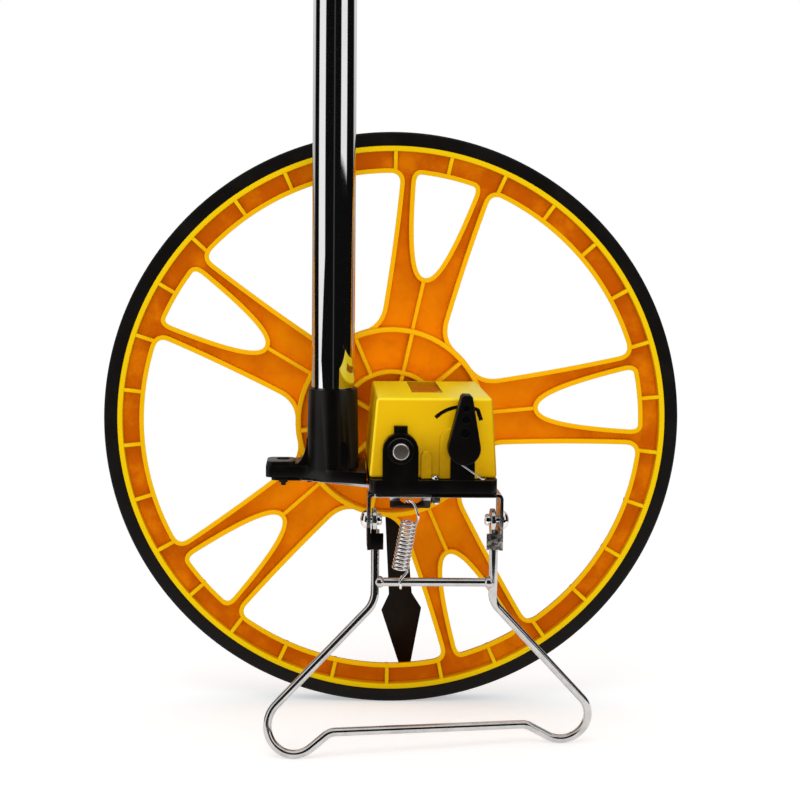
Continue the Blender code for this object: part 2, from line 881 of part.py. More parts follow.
def make_axle(stance, materials):
    collar_front = -HUB_TUBE_PROUD - SEAT_GAP - AXLE_COLLAR_WIDTH
    shoulder = HUB_TUBE_BACK + SEAT_GAP
    tail = shoulder + AXLE_TAIL_LENGTH
    profile = [
        (0, -AXLE_FRONT),
        (AXLE_RADIUS - AXLE_CHAMFER, -AXLE_FRONT),
        (AXLE_RADIUS, -AXLE_FRONT + AXLE_CHAMFER),
        (AXLE_RADIUS, collar_front),
        (AXLE_COLLAR_RADIUS, collar_front),
        (AXLE_COLLAR_RADIUS, collar_front + AXLE_COLLAR_WIDTH),
        (AXLE_RADIUS, collar_front + AXLE_COLLAR_WIDTH),
        (AXLE_RADIUS, shoulder),
        (AXLE_TAIL_RADIUS, shoulder),
        (AXLE_TAIL_RADIUS, tail - AXLE_CHAMFER),
        (AXLE_TAIL_RADIUS - AXLE_CHAMFER, tail),
        (0, tail),
    ]
    axle = turned("axle", profile, SHAFT_FLATS, ALONG_Y, (0, 0, 0), closed=False)
    finish(axle, "axle", materials["steel"], stance)


def pointer_outline():
    head = -POINTER_HEAD_TOP
    neck = POINTER_NECK_HALF + POINTER_NECK_FLARE
    right = [
        (POINTER_NECK_HALF, -POINTER_EYE_RADIUS),
        (neck, head),
        (POINTER_HEAD_HALF, head - POINTER_SHOULDER),
        (POINTER_TIP_HALF, -POINTER_LENGTH),
    ]
    left = [(-x, z) for x, z in reversed(right)]
    rise = math.asin(POINTER_NECK_HALF / POINTER_EYE_RADIUS)
    eye = arc_points((0, 0), POINTER_EYE_RADIUS, 1.5 * math.pi - rise, -0.5 * math.pi + rise, 12)
    return turned_by(right + left + eye, POINTER_TILT)


def make_pointer(stance, materials):
    back = HUB_TUBE_BACK + SEAT_GAP
    washer_back = back + SEAT_GAP + WASHER_THICKNESS
    bore = AXLE_TAIL_RADIUS + SEAT_GAP
    washer = pipe("washer", bore, WASHER_RADIUS, back + SEAT_GAP, washer_back, SHAFT_FLATS,
                  ALONG_Y, (0, 0, 0))
    finish(washer, "pointer_washer", materials["steel"], stance)
    front = washer_back + SEAT_GAP
    rear = front + POINTER_THICKNESS
    loops = [pointer_outline(), ring_points(bore, PIN_FLATS)]
    pointer = prism("pointer", loops, front, rear, FRONT)
    finish(pointer, "pointer", materials["black_plastic"], stance)
    loops = [ring_points(NUT_ACROSS / math.sqrt(3), 6), ring_points(bore, PIN_FLATS)]
    nut = prism("nut", loops, rear + SEAT_GAP, rear + SEAT_GAP + NUT_THICKNESS, FRONT)
    finish(nut, "axle_nut", materials["steel"], stance)


def gear_pitch_radius():
    return math.hypot(COUNTER_X, COUNTER_Z) / 2


def mesh_angle():
    """Direction from the axle to the counter shaft."""
    return math.atan2(COUNTER_Z, COUNTER_X)


def make_drive_gear(stance, materials):
    pitch = gear_pitch_radius()
    teeth = gear_points(GEAR_TEETH, pitch - GEAR_DEDENDUM, pitch + GEAR_ADDENDUM, mesh_angle(),
                        GEAR_TOOTH_SHARE)
    loops = [teeth, ring_points(AXLE_RADIUS + SEAT_GAP, SHAFT_FLATS)]
    gear = prism("gear", loops, -GEAR_FRONT, -GEAR_FRONT + GEAR_WIDTH, FRONT)
    finish(gear, "drive_gear", materials["white_plastic"], stance)


# Base plate and bushes

def arch_outline(centre_x, centre_z, radius, bottom):
    top = arc_points((centre_x, centre_z), radius, 0, math.pi, 12)
    return top + [(centre_x - radius, bottom), (centre_x + radius, bottom)]


def bush_radius():
    return AXLE_RADIUS + SEAT_GAP + BUSH_WALL


def make_base_plate(stance, materials):
    left = -PLATE_LEFT
    right = PLATE_RIGHT
    front = -PLATE_FRONT
    back = -PLATE_BACK
    top = -PLATE_TOP
    bottom = top - PLATE_THICKNESS
    corners = [((left, front), PLATE_CORNER), ((right, front), PLATE_CORNER),
               ((right, back), PLATE_CORNER), ((left, back), PLATE_CORNER)]
    plate = prism("plate", [rounded(corners)], bottom, top, TOP)
    root = top - PLATE_THICKNESS / 2

    boss = prism("boss", [arch_outline(0, 0, BOSS_RADIUS, root)], front, front + BOSS_DEPTH, FRONT)
    pedestal = prism("pedestal", [arch_outline(0, 0, BOSS_RADIUS, root)], -PEDESTAL_FRONT,
                     -PEDESTAL_FRONT + PEDESTAL_DEPTH, FRONT)
    half = BOSS_TAB_WIDTH / 2
    inner = BOSS_TAB_NOTCH / 2
    tab_top = BOSS_RADIUS + BOSS_TAB_HEIGHT
    tab_root = BOSS_RADIUS - BOSS_TAB_HEIGHT / 2
    notch_top = BOSS_RADIUS + BOSS_TAB_HEIGHT * 2 / 5
    tab_loop = [(-half, tab_root), (-half, tab_top), (half, tab_top), (half, tab_root),
                (inner, tab_root), (inner, notch_top), (-inner, notch_top), (-inner, tab_root)]
    tab = prism("tab", [tab_loop], front + SEAT_GAP, front + SEAT_GAP + BOSS_TAB_DEPTH, FRONT)
    post_half = POST_WIDTH / 2
    post_front = -HOUSING_FRONT - PAD_PROUD - SEAT_GAP - POST_THICKNESS
    post = prism("post", [arch_outline(LEVER_X, LEVER_Z, post_half, root)], post_front,
                 post_front + POST_THICKNESS, FRONT)
    plate = add(plate, boss, pedestal, tab, post)

    bush_bore = bush_radius() + SEAT_GAP
    cuts = [
        cylinder("bore", bush_bore, front - CUT_OVERRUN, front + BOSS_DEPTH + CUT_OVERRUN,
                 SHAFT_FLATS, ALONG_Y, (0, 0, 0)),
        cylinder("bore", bush_bore, -PEDESTAL_FRONT - CUT_OVERRUN,
                 -PEDESTAL_FRONT + PEDESTAL_DEPTH + CUT_OVERRUN, SHAFT_FLATS, ALONG_Y, (0, 0, 0)),
        cylinder("bore", LEVER_SHAFT_RADIUS + SEAT_GAP, post_front - CUT_OVERRUN,
                 post_front + POST_THICKNESS + CUT_OVERRUN, SHAFT_FLATS, ALONG_Y,
                 (LEVER_X, 0, LEVER_Z)),
    ]
    for x, y in zip(PLATE_SCREW_X, PLATE_SCREW_Y):
        cuts.append(cylinder("hole", SCREW_RADIUS + SCREW_GAP, bottom - CUT_OVERRUN,
                             top + CUT_OVERRUN, PIN_FLATS, ALONG_Z, (x, y, 0)))
    plate = cut(plate, *cuts)
    finish(plate, "base_plate", materials["black_plastic"], stance)


def make_bush(name, face, length, stance, materials):
    """Flanged bush whose flange sits on the face at Y = face and whose body goes back."""
    bore = AXLE_RADIUS + SEAT_GAP
    outer = bush_radius()
    flange = outer + BUSH_FLANGE - BUSH_WALL
    profile = [
        (bore, face - SEAT_GAP - BUSH_FLANGE_THICKNESS),
        (flange, face - SEAT_GAP - BUSH_FLANGE_THICKNESS),
        (flange, face - SEAT_GAP),
        (outer, face - SEAT_GAP),
        (outer, face + length),
        (bore, face + length),
    ]
    bush = turned(name, profile, SHAFT_FLATS, ALONG_Y, (0, 0, 0))
    finish(bush, name, materials["black_plastic"], stance)


# Housing, window and counter

def housing_block(inset, bottom, top):
    """The drafted box, drawn in by inset on every side."""
    mesh = bpy.data.meshes.new("block")
    shape = bmesh.new()
    bmesh.ops.create_cube(shape, size=1)
    for vert in shape.verts:
        upper = vert.co.z > 0
        height = top if upper else bottom
        rise = (height + PLATE_TOP) / (HOUSING_TOP + PLATE_TOP)
        if vert.co.x < 0:
            vert.co.x = -HOUSING_LEFT + HOUSING_DRAFT_LEFT * rise + inset
        else:
            vert.co.x = HOUSING_RIGHT - HOUSING_DRAFT_RIGHT * rise - inset
        if vert.co.y < 0:
            vert.co.y = -HOUSING_FRONT + inset
        else:
            vert.co.y = -HOUSING_BACK - HOUSING_DRAFT_BACK * rise - inset
        vert.co.z = height
    shape.to_mesh(mesh)
    shape.free()
    return object_from("block", mesh)


def guide_slot():
    half = GUIDE_PIN_RADIUS + SEAT_GAP
    centre = (LEVER_X, LEVER_Z)
    outer = arc_points(centre, GUIDE_REACH + half, GUIDE_START, GUIDE_END, 12)
    inner = arc_points(centre, GUIDE_REACH - half, GUIDE_END + math.radians(5), GUIDE_START, 12)
    tail = arc_points(centre, GUIDE_REACH - GUIDE_TAIL, GUIDE_END, GUIDE_END + math.radians(5), 1)
    return outer + tail + inner


def make_housing(stance, materials):
    bottom = -PLATE_TOP + SEAT_GAP
    outer = soften(housing_block(0, bottom, HOUSING_TOP), HOUSING_EDGE, HOUSING_EDGE_STEPS)
    cavity = housing_block(HOUSING_WALL, bottom - CUT_OVERRUN, HOUSING_TOP - HOUSING_WALL)
    front = -HOUSING_FRONT
    pad_corners = [((PAD_LEFT, bottom), 0), ((PAD_RIGHT, bottom), 0),
                   ((PAD_RIGHT, PAD_TOP), PAD_CORNER), ((PAD_LEFT, PAD_TOP), PAD_CORNER)]
    pad = prism("pad", [rounded(pad_corners)], front - PAD_PROUD, front + HOUSING_WALL / 2, FRONT)
    stub_loop = arch_outline(STUB_LEFT + STUB_WIDTH / 2, -STUB_TOP - STUB_WIDTH / 2,
                             STUB_WIDTH / 2, bottom)
    stub = prism("stub", [stub_loop], front - STUB_PROUD, front + HOUSING_WALL / 2, FRONT)
    stub = soften(stub, STUB_PROUD / 3, 2)
    housing = add(outer, pad, stub)

    back_inner = -HOUSING_BACK - HOUSING_DRAFT_BACK - HOUSING_WALL
    deep = CUT_OVERRUN + HOUSING_WALL + PAD_PROUD
    cuts = [
        cavity,
        box("window", (WINDOW_LEFT, -WINDOW_FRONT, HOUSING_TOP - HOUSING_WALL - CUT_OVERRUN),
            (WINDOW_RIGHT, back_inner, HOUSING_TOP + CUT_OVERRUN)),
        prism("slot", [guide_slot()], front - CUT_OVERRUN, front + deep, FRONT),
        cylinder("axle_hole", bush_radius() + SLIDE_GAP, front - CUT_OVERRUN, front + deep,
                 SHAFT_FLATS, ALONG_Y, (0, 0, 0)),
        cylinder("axle_hole", AXLE_RADIUS + 2 * SLIDE_GAP, back_inner - CUT_OVERRUN,
                 -HOUSING_BACK + CUT_OVERRUN, SHAFT_FLATS, ALONG_Y, (0, 0, 0)),
        cylinder("lever_hole", LEVER_SHAFT_RADIUS + SEAT_GAP, front - deep, front + deep,
                 SHAFT_FLATS, ALONG_Y, (LEVER_X, 0, LEVER_Z)),
    ]
    housing = cut(housing, *cuts)
    finish(housing, "housing", materials["housing_yellow"], stance)


def make_window(stance, materials):
    roof = HOUSING_TOP - HOUSING_WALL
    left = WINDOW_LEFT + SEAT_GAP
    right = WINDOW_RIGHT - SEAT_GAP
    flange_top = roof - SEAT_GAP
    flange_low = flange_top - LENS_FLANGE_THICKNESS
    loop = [
        (left - LENS_FLANGE, flange_low), (right + LENS_FLANGE, flange_low),
        (right + LENS_FLANGE, flange_top), (right, flange_top),
        (right, HOUSING_TOP - SEAT_GAP), (left, HOUSING_TOP - SEAT_GAP),
        (left, flange_top), (left - LENS_FLANGE, flange_top),
    ]
    back = -HOUSING_BACK - HOUSING_DRAFT_BACK - HOUSING_WALL - SEAT_GAP
    lens = prism("lens", [loop], -WINDOW_FRONT + SEAT_GAP, back, FRONT)
    finish(lens, "counter_window", materials["clear_plastic"], stance)


def drum_front(index):
    return -DRUM_FRONT + index * DRUM_SPACING


def counter_frame_front():
    return -DRUM_FRONT - 2 * SEAT_GAP - FRAME_SHEET


def counter_frame_back():
    return drum_front(DRUM_COUNT - 1) + DRUM_WIDTH + DRUM_GEAR_WIDTH + SLIDE_GAP


def pinion_place():
    reach = DRUM_GEAR_RADIUS + PINION_RADIUS + SEAT_GAP
    return (COUNTER_X + reach * math.cos(PINION_ANGLE), COUNTER_Z + reach * math.sin(PINION_ANGLE))


def make_drum(index, stance, materials):
    """A number drum; the first also carries the counter gear on a hub."""
    front = drum_front(index)
    back = front + DRUM_WIDTH
    bore = COUNTER_SHAFT_RADIUS + DRUM_BORE_GAP
    centre = (COUNTER_X, COUNTER_Z)
    bore_loop = ring_points(bore, PIN_FLATS, centre)
    rim = ring_points(DRUM_RADIUS, TUBE_FLATS, centre)
    drum = prism("drum", [rim, bore_loop], front, back, FRONT)
    teeth = gear_points(DRUM_GEAR_TEETH, DRUM_GEAR_RADIUS - DRUM_TOOTH, DRUM_GEAR_RADIUS, 0,
                        GEAR_TOOTH_SHARE)
    inner = ring_points(bore + DRUM_TOOTH, PIN_FLATS, centre)
    transfer = prism("transfer", [shifted(teeth, centre), inner], back - DRUM_TOOTH,
                     back + DRUM_GEAR_WIDTH, FRONT)
    drum = add(drum, transfer)
    if index == 0:
        pitch = gear_pitch_radius()
        half_tooth = math.pi / GEAR_TEETH
        teeth = gear_points(GEAR_TEETH, pitch - GEAR_DEDENDUM, pitch + GEAR_ADDENDUM,
                            mesh_angle() + math.pi + half_tooth, GEAR_TOOTH_SHARE)
        gear = prism("gear", [shifted(teeth, centre), bore_loop], -GEAR_FRONT,
                     -GEAR_FRONT + GEAR_WIDTH, FRONT)
        hub_loops = [ring_points(COUNTER_HUB_RADIUS, SHAFT_FLATS, centre),
                     ring_points(bore + DRUM_TOOTH / 2, PIN_FLATS, centre)]
        hub = prism("hub", hub_loops, -GEAR_FRONT + GEAR_WIDTH / 2, front + DRUM_WIDTH / 2, FRONT)
        drum = add(drum, hub, gear)
    return finish(drum, "drum_%d" % (index + 1), materials["drum_white"], stance, (COUNTER_X, 0, COUNTER_Z))


def make_pinion(index, stance, materials):
    """A transfer pinion, in the gap behind its drum."""
    centre = pinion_place()
    middle = drum_front(index) + DRUM_WIDTH + (DRUM_SPACING - DRUM_WIDTH) / 2
    teeth = gear_points(PINION_TEETH, PINION_RADIUS - PINION_TOOTH, PINION_RADIUS, 0,
                        GEAR_TOOTH_SHARE)
    bore = ring_points(PINION_SHAFT_RADIUS + SEAT_GAP, PIN_FLATS, centre)
    pinion = prism("pinion", [shifted(teeth, centre), bore], middle - PINION_WIDTH / 2,
                   middle + PINION_WIDTH / 2, FRONT)
    return finish(pinion, "pinion_%d" % (index + 1), materials["white_plastic"], stance,
                  (centre[0], 0, centre[1]))


def make_counter(stance, materials):
    make_drum(0, stance, materials)
    drum = make_drum(1, stance, materials)
    pinion = make_pinion(0, stance, materials)
    for index in range(2, DRUM_COUNT):
        repeat(drum, "drum_%d" % (index + 1), (0, (index - 1) * DRUM_SPACING, 0))
    for index in range(1, DRUM_COUNT - 1):
        repeat(pinion, "pinion_%d" % (index + 1), (0, index * DRUM_SPACING, 0))


def make_counter_frame(stance, materials):
    front = counter_frame_front()
    back = counter_frame_back()
    bottom = -PLATE_TOP + SEAT_GAP
    pinion = pinion_place()
    cheek = [(FRAME_LEFT, bottom), (FRAME_RIGHT, bottom), (FRAME_RIGHT, FRAME_TOP - FRAME_SLOPE_Z),
             (FRAME_RIGHT - FRAME_SLOPE_X, FRAME_TOP), (FRAME_LEFT, FRAME_TOP)]
    reset_hole = ring_points(LEVER_SHAFT_RADIUS + SEAT_GAP, PIN_FLATS, (LEVER_X, LEVER_Z))
    pinion_hole = ring_points(PINION_SHAFT_RADIUS + SEAT_GAP, PIN_FLATS, pinion)
    centre = (COUNTER_X, COUNTER_Z)
    hub_hole = ring_points(COUNTER_HUB_RADIUS + SEAT_GAP, SHAFT_FLATS, centre)
    shaft_hole = ring_points(COUNTER_SHAFT_RADIUS + SEAT_GAP, PIN_FLATS, centre)
    frame = prism("frame", [cheek, reset_hole, pinion_hole, hub_hole], front, front + FRAME_SHEET, FRONT)
    rear = prism("rear", [cheek, reset_hole, pinion_hole, shaft_hole], back, back + FRAME_SHEET, FRONT)
    floor = box("floor", (FRAME_LEFT + FRAME_SHEET / 2, front + FRAME_SHEET / 2, bottom + FRAME_SHEET / 4),
                (FRAME_RIGHT - FRAME_SHEET / 2, back + FRAME_SHEET / 2, bottom + FRAME_SHEET))
    frame = add(frame, join("rest", [rear]), floor)
    finish(frame, "counter_frame", materials["zinc"], stance)

    tail = back + FRAME_SHEET + SLIDE_GAP
    shaft = cylinder("shaft", COUNTER_SHAFT_RADIUS, -GEAR_FRONT - SLIDE_GAP, tail, PIN_FLATS,
                     ALONG_Y, (COUNTER_X, 0, COUNTER_Z))
    finish(shaft, "counter_shaft", materials["steel"], stance)
    spindle = cylinder("spindle", PINION_SHAFT_RADIUS, front, tail, PIN_FLATS,
                       ALONG_Y, (pinion[0], 0, pinion[1]))
    finish(spindle, "pinion_shaft", materials["steel"], stance)


# Reset lever

def lever_back():
    return -HOUSING_FRONT - PAD_PROUD - 2 * SEAT_GAP - POST_THICKNESS


def lever_outline(inset):
    """Teardrop: a round end on the pivot and two straight flanks to a narrow flat tip."""
    radius = LEVER_RADIUS - inset
    tip_half = LEVER_TIP_HALF - inset
    tip = LEVER_REACH - inset
    distance = math.hypot(tip_half, tip)
    lean = math.atan2(tip, tip_half)
    touch = lean - math.acos(radius / distance)
    around = arc_points((0, 0), radius, math.pi - touch, 2 * math.pi + touch, 18)
    corners = [(tip_half, tip - LEVER_TIP_ROUND), (tip_half - LEVER_TIP_ROUND, tip),
               (-tip_half + LEVER_TIP_ROUND, tip), (-tip_half, tip - LEVER_TIP_ROUND)]
    return shifted(turned_by(around + corners, LEVER_TILT), (LEVER_X, LEVER_Z))


def lever_point(reach):
    """A place on the lever's middle line, at a distance from its pivot."""
    turn = math.pi / 2 + LEVER_TILT
    return (LEVER_X + reach * math.cos(turn), LEVER_Z + reach * math.sin(turn))


def make_reset_lever(stance, materials):
    front = -LEVER_FRONT
    back = lever_back()
    face = front + LEVER_FACE_THICKNESS
    lever = prism("lever", [lever_outline(0)], front, back, FRONT)
    lever = soften(lever, LEVER_EDGE, 1, math.radians(60))
    hollow = prism("hollow", [lever_outline(LEVER_WALL)], face, back + CUT_OVERRUN, FRONT)
    notch_low = LEVER_Z - LEVER_RADIUS - CUT_OVERRUN
    notch_high = LEVER_Z - LEVER_RADIUS / 2
    notch_side = RESET_LEG_SIDE + 4 * RESET_WIRE_RADIUS
    notch = box("notch", (LEVER_X - notch_side, back - 5 * RESET_WIRE_RADIUS, notch_low),
                (LEVER_X + 2 * notch_side, back + CUT_OVERRUN, notch_high))
    lever = cut(lever, hollow, notch)
    overlap = LEVER_FACE_THICKNESS / 2
    tail = counter_frame_back() + FRAME_SHEET + SLIDE_GAP
    shaft = cylinder("shaft", LEVER_SHAFT_RADIUS, face - overlap, tail, SHAFT_FLATS, ALONG_Y,
                     (LEVER_X, 0, LEVER_Z))
    guide = lever_point(GUIDE_REACH)
    pin = cylinder("pin", GUIDE_PIN_RADIUS, face - overlap, -HOUSING_FRONT + 2 * HOUSING_WALL,
                   PIN_FLATS // 2, ALONG_Y, (guide[0], 0, guide[1]))
    lever = add(lever, shaft, pin)
    for reach, radius in zip(DIMPLE_REACH, DIMPLE_RADIUS):
        place = lever_point(reach)
        dimple = cylinder("dimple", radius, front - CUT_OVERRUN, front + DIMPLE_DEPTH,
                          SHAFT_FLATS, ALONG_Y, (place[0], 0, place[1]))
        lever = cut(lever, dimple)
    pivot = (LEVER_X, 0, LEVER_Z)
    finish(lever, "reset_lever", materials["black_plastic"], stance, pivot)


def make_reset_comb(stance, materials):
    """A sleeve on the lever's shaft with one finger for each drum."""
    centre = (LEVER_X, LEVER_Z)
    bore = LEVER_SHAFT_RADIUS + SEAT_GAP
    back = drum_front(DRUM_COUNT - 1) + DRUM_WIDTH
    loops = [ring_points(COMB_COLLAR, SHAFT_FLATS, centre), ring_points(bore, PIN_FLATS, centre)]
    comb = prism("comb", loops, -DRUM_FRONT, back, FRONT)
    half = COMB_SHEET / 2
    root = (bore + COMB_COLLAR) / 2
    finger = [(-COMB_SHEET, root), (COMB_SHEET, root), (half, COMB_REACH), (-half, COMB_REACH)]
    fingers = []
    for index in range(DRUM_COUNT):
        middle = drum_front(index) + DRUM_WIDTH / 2
        fingers.append(prism("finger", [shifted(finger, centre)], middle - half, middle + half, FRONT))
    comb = add(comb, join("fingers", fingers))
    finish(comb, "reset_comb", materials["steel"], stance, (LEVER_X, 0, LEVER_Z))


def make_reset_spring(stance, materials):
    """Torsion coil round the lever's shaft, with one leg down to the base plate."""
    back = lever_back()
    start = back - 1.5 * RESET_WIRE_RADIUS - SEAT_GAP
    steps = 12
    points = []
    for i in range(RESET_COIL_TURNS * steps + 1):
        turn = math.radians(240) - 2 * math.pi * i / steps
        y = start - RESET_COIL_PITCH * i / steps
        points.append((LEVER_X + RESET_COIL_RADIUS * math.cos(turn), y,
                       LEVER_Z + RESET_COIL_RADIUS * math.sin(turn)))
    points.reverse()
    plate_top = -PLATE_TOP + RESET_WIRE_RADIUS + SEAT_GAP
    bend = (LEVER_X - RESET_LEG_SIDE, start, LEVER_Z - RESET_LEG_DROP)
    end = (LEVER_X + RESET_LEG_END, start, plate_top)
    points.append(bend)
    points.append(end)
    points.append((end[0] + 4 * RESET_WIRE_RADIUS, start + RESET_WIRE_RADIUS, plate_top))
    spring = wire("reset_spring", points, RESET_WIRE_RADIUS, 0)
    finish(spring, "reset_spring", materials["chrome"], stance)


# Screws and nuts

def screw_solid(x, y, seat, length):
    """Domed screw whose head stands on Z = seat."""
    head = seat + SEAT_GAP
    profile = [
        (0, head - length),
        (SCREW_RADIUS, head - length),
        (SCREW_RADIUS, head),
        (SCREW_HEAD_RADIUS, head),
        (SCREW_HEAD_RADIUS, head + SCREW_HEAD_HEIGHT / 2),
        (SCREW_HEAD_RADIUS * 0.7, head + SCREW_HEAD_HEIGHT),
        (0, head + SCREW_HEAD_HEIGHT),
    ]
    screw = turned("screw", profile, PIN_FLATS, ALONG_Z, (x, y, 0), closed=False)
    arm = SCREW_HEAD_RADIUS * 0.62
    half = SCREW_HEAD_RADIUS * 0.13
    top = head + SCREW_HEAD_HEIGHT
    deep = SCREW_HEAD_HEIGHT * 0.45
    long_cut = box("cross", (x - arm, y - half, top - deep), (x + arm, y + half, top + CUT_OVERRUN))
    wide_cut = box("cross", (x - half, y - arm, top - deep), (x + half, y + arm, top + CUT_OVERRUN))
    return cut(screw, long_cut, wide_cut)


def nut_solid(x, y, seat):
    top = seat - SEAT_GAP
    loops = [ring_points(SMALL_NUT_RADIUS, 6, (x, y), math.pi / 6), ring_points(SCREW_RADIUS + SCREW_GAP, PIN_FLATS, (x, y))]
    return prism("nut", loops, top - SMALL_NUT_THICKNESS, top, TOP)


def web_top():
    return -PLATE_TOP - PLATE_THICKNESS - SEAT_GAP


def web_bottom():
    return web_top() - BRACKET_SHEET


def make_fasteners(stance, materials):
    """Six alike screws and nuts: three hold the base plate, three the socket's flange."""
    length = -PLATE_TOP - web_bottom() + SMALL_NUT_THICKNESS + SCREW_TAIL
    x0 = PLATE_SCREW_X[0]
    y0 = PLATE_SCREW_Y[0]
    screw = finish(screw_solid(x0, y0, -PLATE_TOP, length), "plate_screw_1", materials["chrome"], stance)
    nut = finish(nut_solid(x0, y0, web_bottom()), "plate_nut_1", materials["zinc"], stance)
    for index in (1, 2):
        shift = (PLATE_SCREW_X[index] - x0, PLATE_SCREW_Y[index] - y0, 0)
        repeat(screw, "plate_screw_%d" % (index + 1), shift)
        repeat(nut, "plate_nut_%d" % (index + 1), shift)
    for index in range(3):
        x = FLANGE_SCREW_X[index] - x0
        y = FLANGE_SCREW_Y[index] - y0
        repeat(screw, "flange_screw_%d" % (index + 1), (x, y, PLATE_TOP - FLANGE_TOP))
        repeat(nut, "flange_nut_%d" % (index + 1), (x, y, 0))


# Stand bracket

def bracket_u_outline():
    """The bent sheet seen from the front: web and two ears with rounded bends."""
    left = -BRACKET_LEFT
    right = BRACKET_RIGHT
    top = web_top()
    low = -EAR_BOTTOM
    inner = BRACKET_BEND - BRACKET_SHEET
    t = BRACKET_SHEET
    corners = [
        ((left, low), 0), ((left, top), BRACKET_BEND), ((right, top), BRACKET_BEND), ((right, low), 0),
        ((right - t, low), 0), ((right - t, top - t), inner), ((left + t, top - t), inner), ((left + t, low), 0),
    ]
    return rounded(corners, 3)


def wing_outline():
    inset = 0.6 * BRACKET_BEND
    left = -BRACKET_LEFT + BRACKET_BEND
    right = BRACKET_RIGHT - BRACKET_BEND
    front_left = (-WING_LEFT, -FLANGE_FRONT_LEFT + inset)
    middle = (-POLE_X - SOCKET_FOOT_RADIUS, -FLANGE_FRONT_LEFT + inset)
    front_right = (left, -FLANGE_FRONT_RIGHT + inset)
    corners = [
        (front_left, FLANGE_CORNER), (middle, 0), (front_right, 0),
        ((left, -WEB_FRONT), BRACKET_BEND), ((right, -WEB_FRONT), BRACKET_BEND),
        ((right, -WEB_BACK), FLANGE_CORNER), ((left, -WEB_BACK), FLANGE_CORNER),
        ((left, -WING_BACK), 0), ((-WING_LEFT, -WING_BACK), FLANGE_CORNER),
    ]
    return rounded(corners, 3)


def make_stand_bracket(stance, materials):
    t = BRACKET_SHEET
    bracket = prism("bracket", [bracket_u_outline()], -EAR_FRONT, -EAR_BACK, FRONT)
    trim = EAR_CORNER
    web = prism("web", [wing_outline()], web_bottom(), web_top(), TOP)
    left_stop = box("stop", (-BRACKET_LEFT + t / 4, -EAR_FRONT + t / 8, -EAR_BOTTOM + t / 8),
                    (-BRACKET_LEFT + STOP_WIDTH, -EAR_FRONT + t, -EAR_BOTTOM + STOP_HEIGHT))
    right_stop = box("stop", (BRACKET_RIGHT - STOP_WIDTH, -EAR_FRONT + t / 8, -EAR_BOTTOM + t / 8),
                     (BRACKET_RIGHT - t / 4, -EAR_FRONT + t, -EAR_BOTTOM + STOP_HEIGHT))
    slot_middle = (HOOK_SLOT_BOTTOM + HOOK_SLOT_TOP) / 2
    slot = [((HOOK_SLOT_X - HOOK_SLOT_HALF, -HOOK_SLOT_TOP), 0),
            ((HOOK_SLOT_X + HOOK_SLOT_HALF, -HOOK_SLOT_TOP), 0),
            ((HOOK_SLOT_X + HOOK_SLOT_HALF, -slot_middle), 0),
            ((HOOK_SLOT_X + HOOK_SLOT_HALF * 0.6, -HOOK_SLOT_BOTTOM), 0),
            ((HOOK_SLOT_X - HOOK_SLOT_HALF * 0.6, -HOOK_SLOT_BOTTOM), 0),
            ((HOOK_SLOT_X - HOOK_SLOT_HALF, -slot_middle), 0)]
    tab = [((-HOOK_TAB_LEFT, web_top() - t / 3), 0), ((-HOOK_TAB_LEFT, -HOOK_TAB_BOTTOM), t / 2),
           ((HOOK_TAB_RIGHT, -HOOK_TAB_BOTTOM), t / 2), ((HOOK_TAB_RIGHT, web_top() - t / 3), 0)]
    hook = prism("hook", [rounded(tab, 2), rounded(slot)], -WEB_FRONT + t / 8, -WEB_FRONT + t, FRONT)
    bracket = add(bracket, web, left_stop, right_stop, hook)
    cuts = []
    for x in (-BRACKET_LEFT, BRACKET_RIGHT):
        cuts.append(cylinder("hole", RIVET_RADIUS + SEAT_GAP, x - 2 * t, x + 2 * t, PIN_FLATS,
                             ALONG_X, (0, -PIVOT_Y, -PIVOT_Z)))
        corner = [(-EAR_BACK + CUT_OVERRUN, -EAR_BOTTOM - CUT_OVERRUN),
                  (-EAR_BACK + CUT_OVERRUN, -EAR_BOTTOM + trim),
                  (-EAR_BACK - trim, -EAR_BOTTOM - CUT_OVERRUN)]
        cuts.append(prism("corner", [corner], x - 2 * t, x + 2 * t, SIDE))
    places = list(zip(PLATE_SCREW_X, PLATE_SCREW_Y)) + list(zip(FLANGE_SCREW_X, FLANGE_SCREW_Y))
    for x, y in places:
        cuts.append(cylinder("hole", SCREW_RADIUS + SCREW_GAP, web_bottom() - t, web_top() + t,
                             PIN_FLATS, ALONG_Z, (x, y, 0)))
    bracket = cut(bracket, *cuts)
    finish(bracket, "stand_bracket", materials["zinc"], stance)


# Stand wire and its rivets

def tangent_angle(centre, radius, place, side):
    """Angle on a circle where a line from a place outside touches it."""
    dx = place[0] - centre[0]
    dz = place[1] - centre[1]
    spread = math.acos(radius / math.hypot(dx, dz))
    return math.atan2(dz, dx) + side * spread


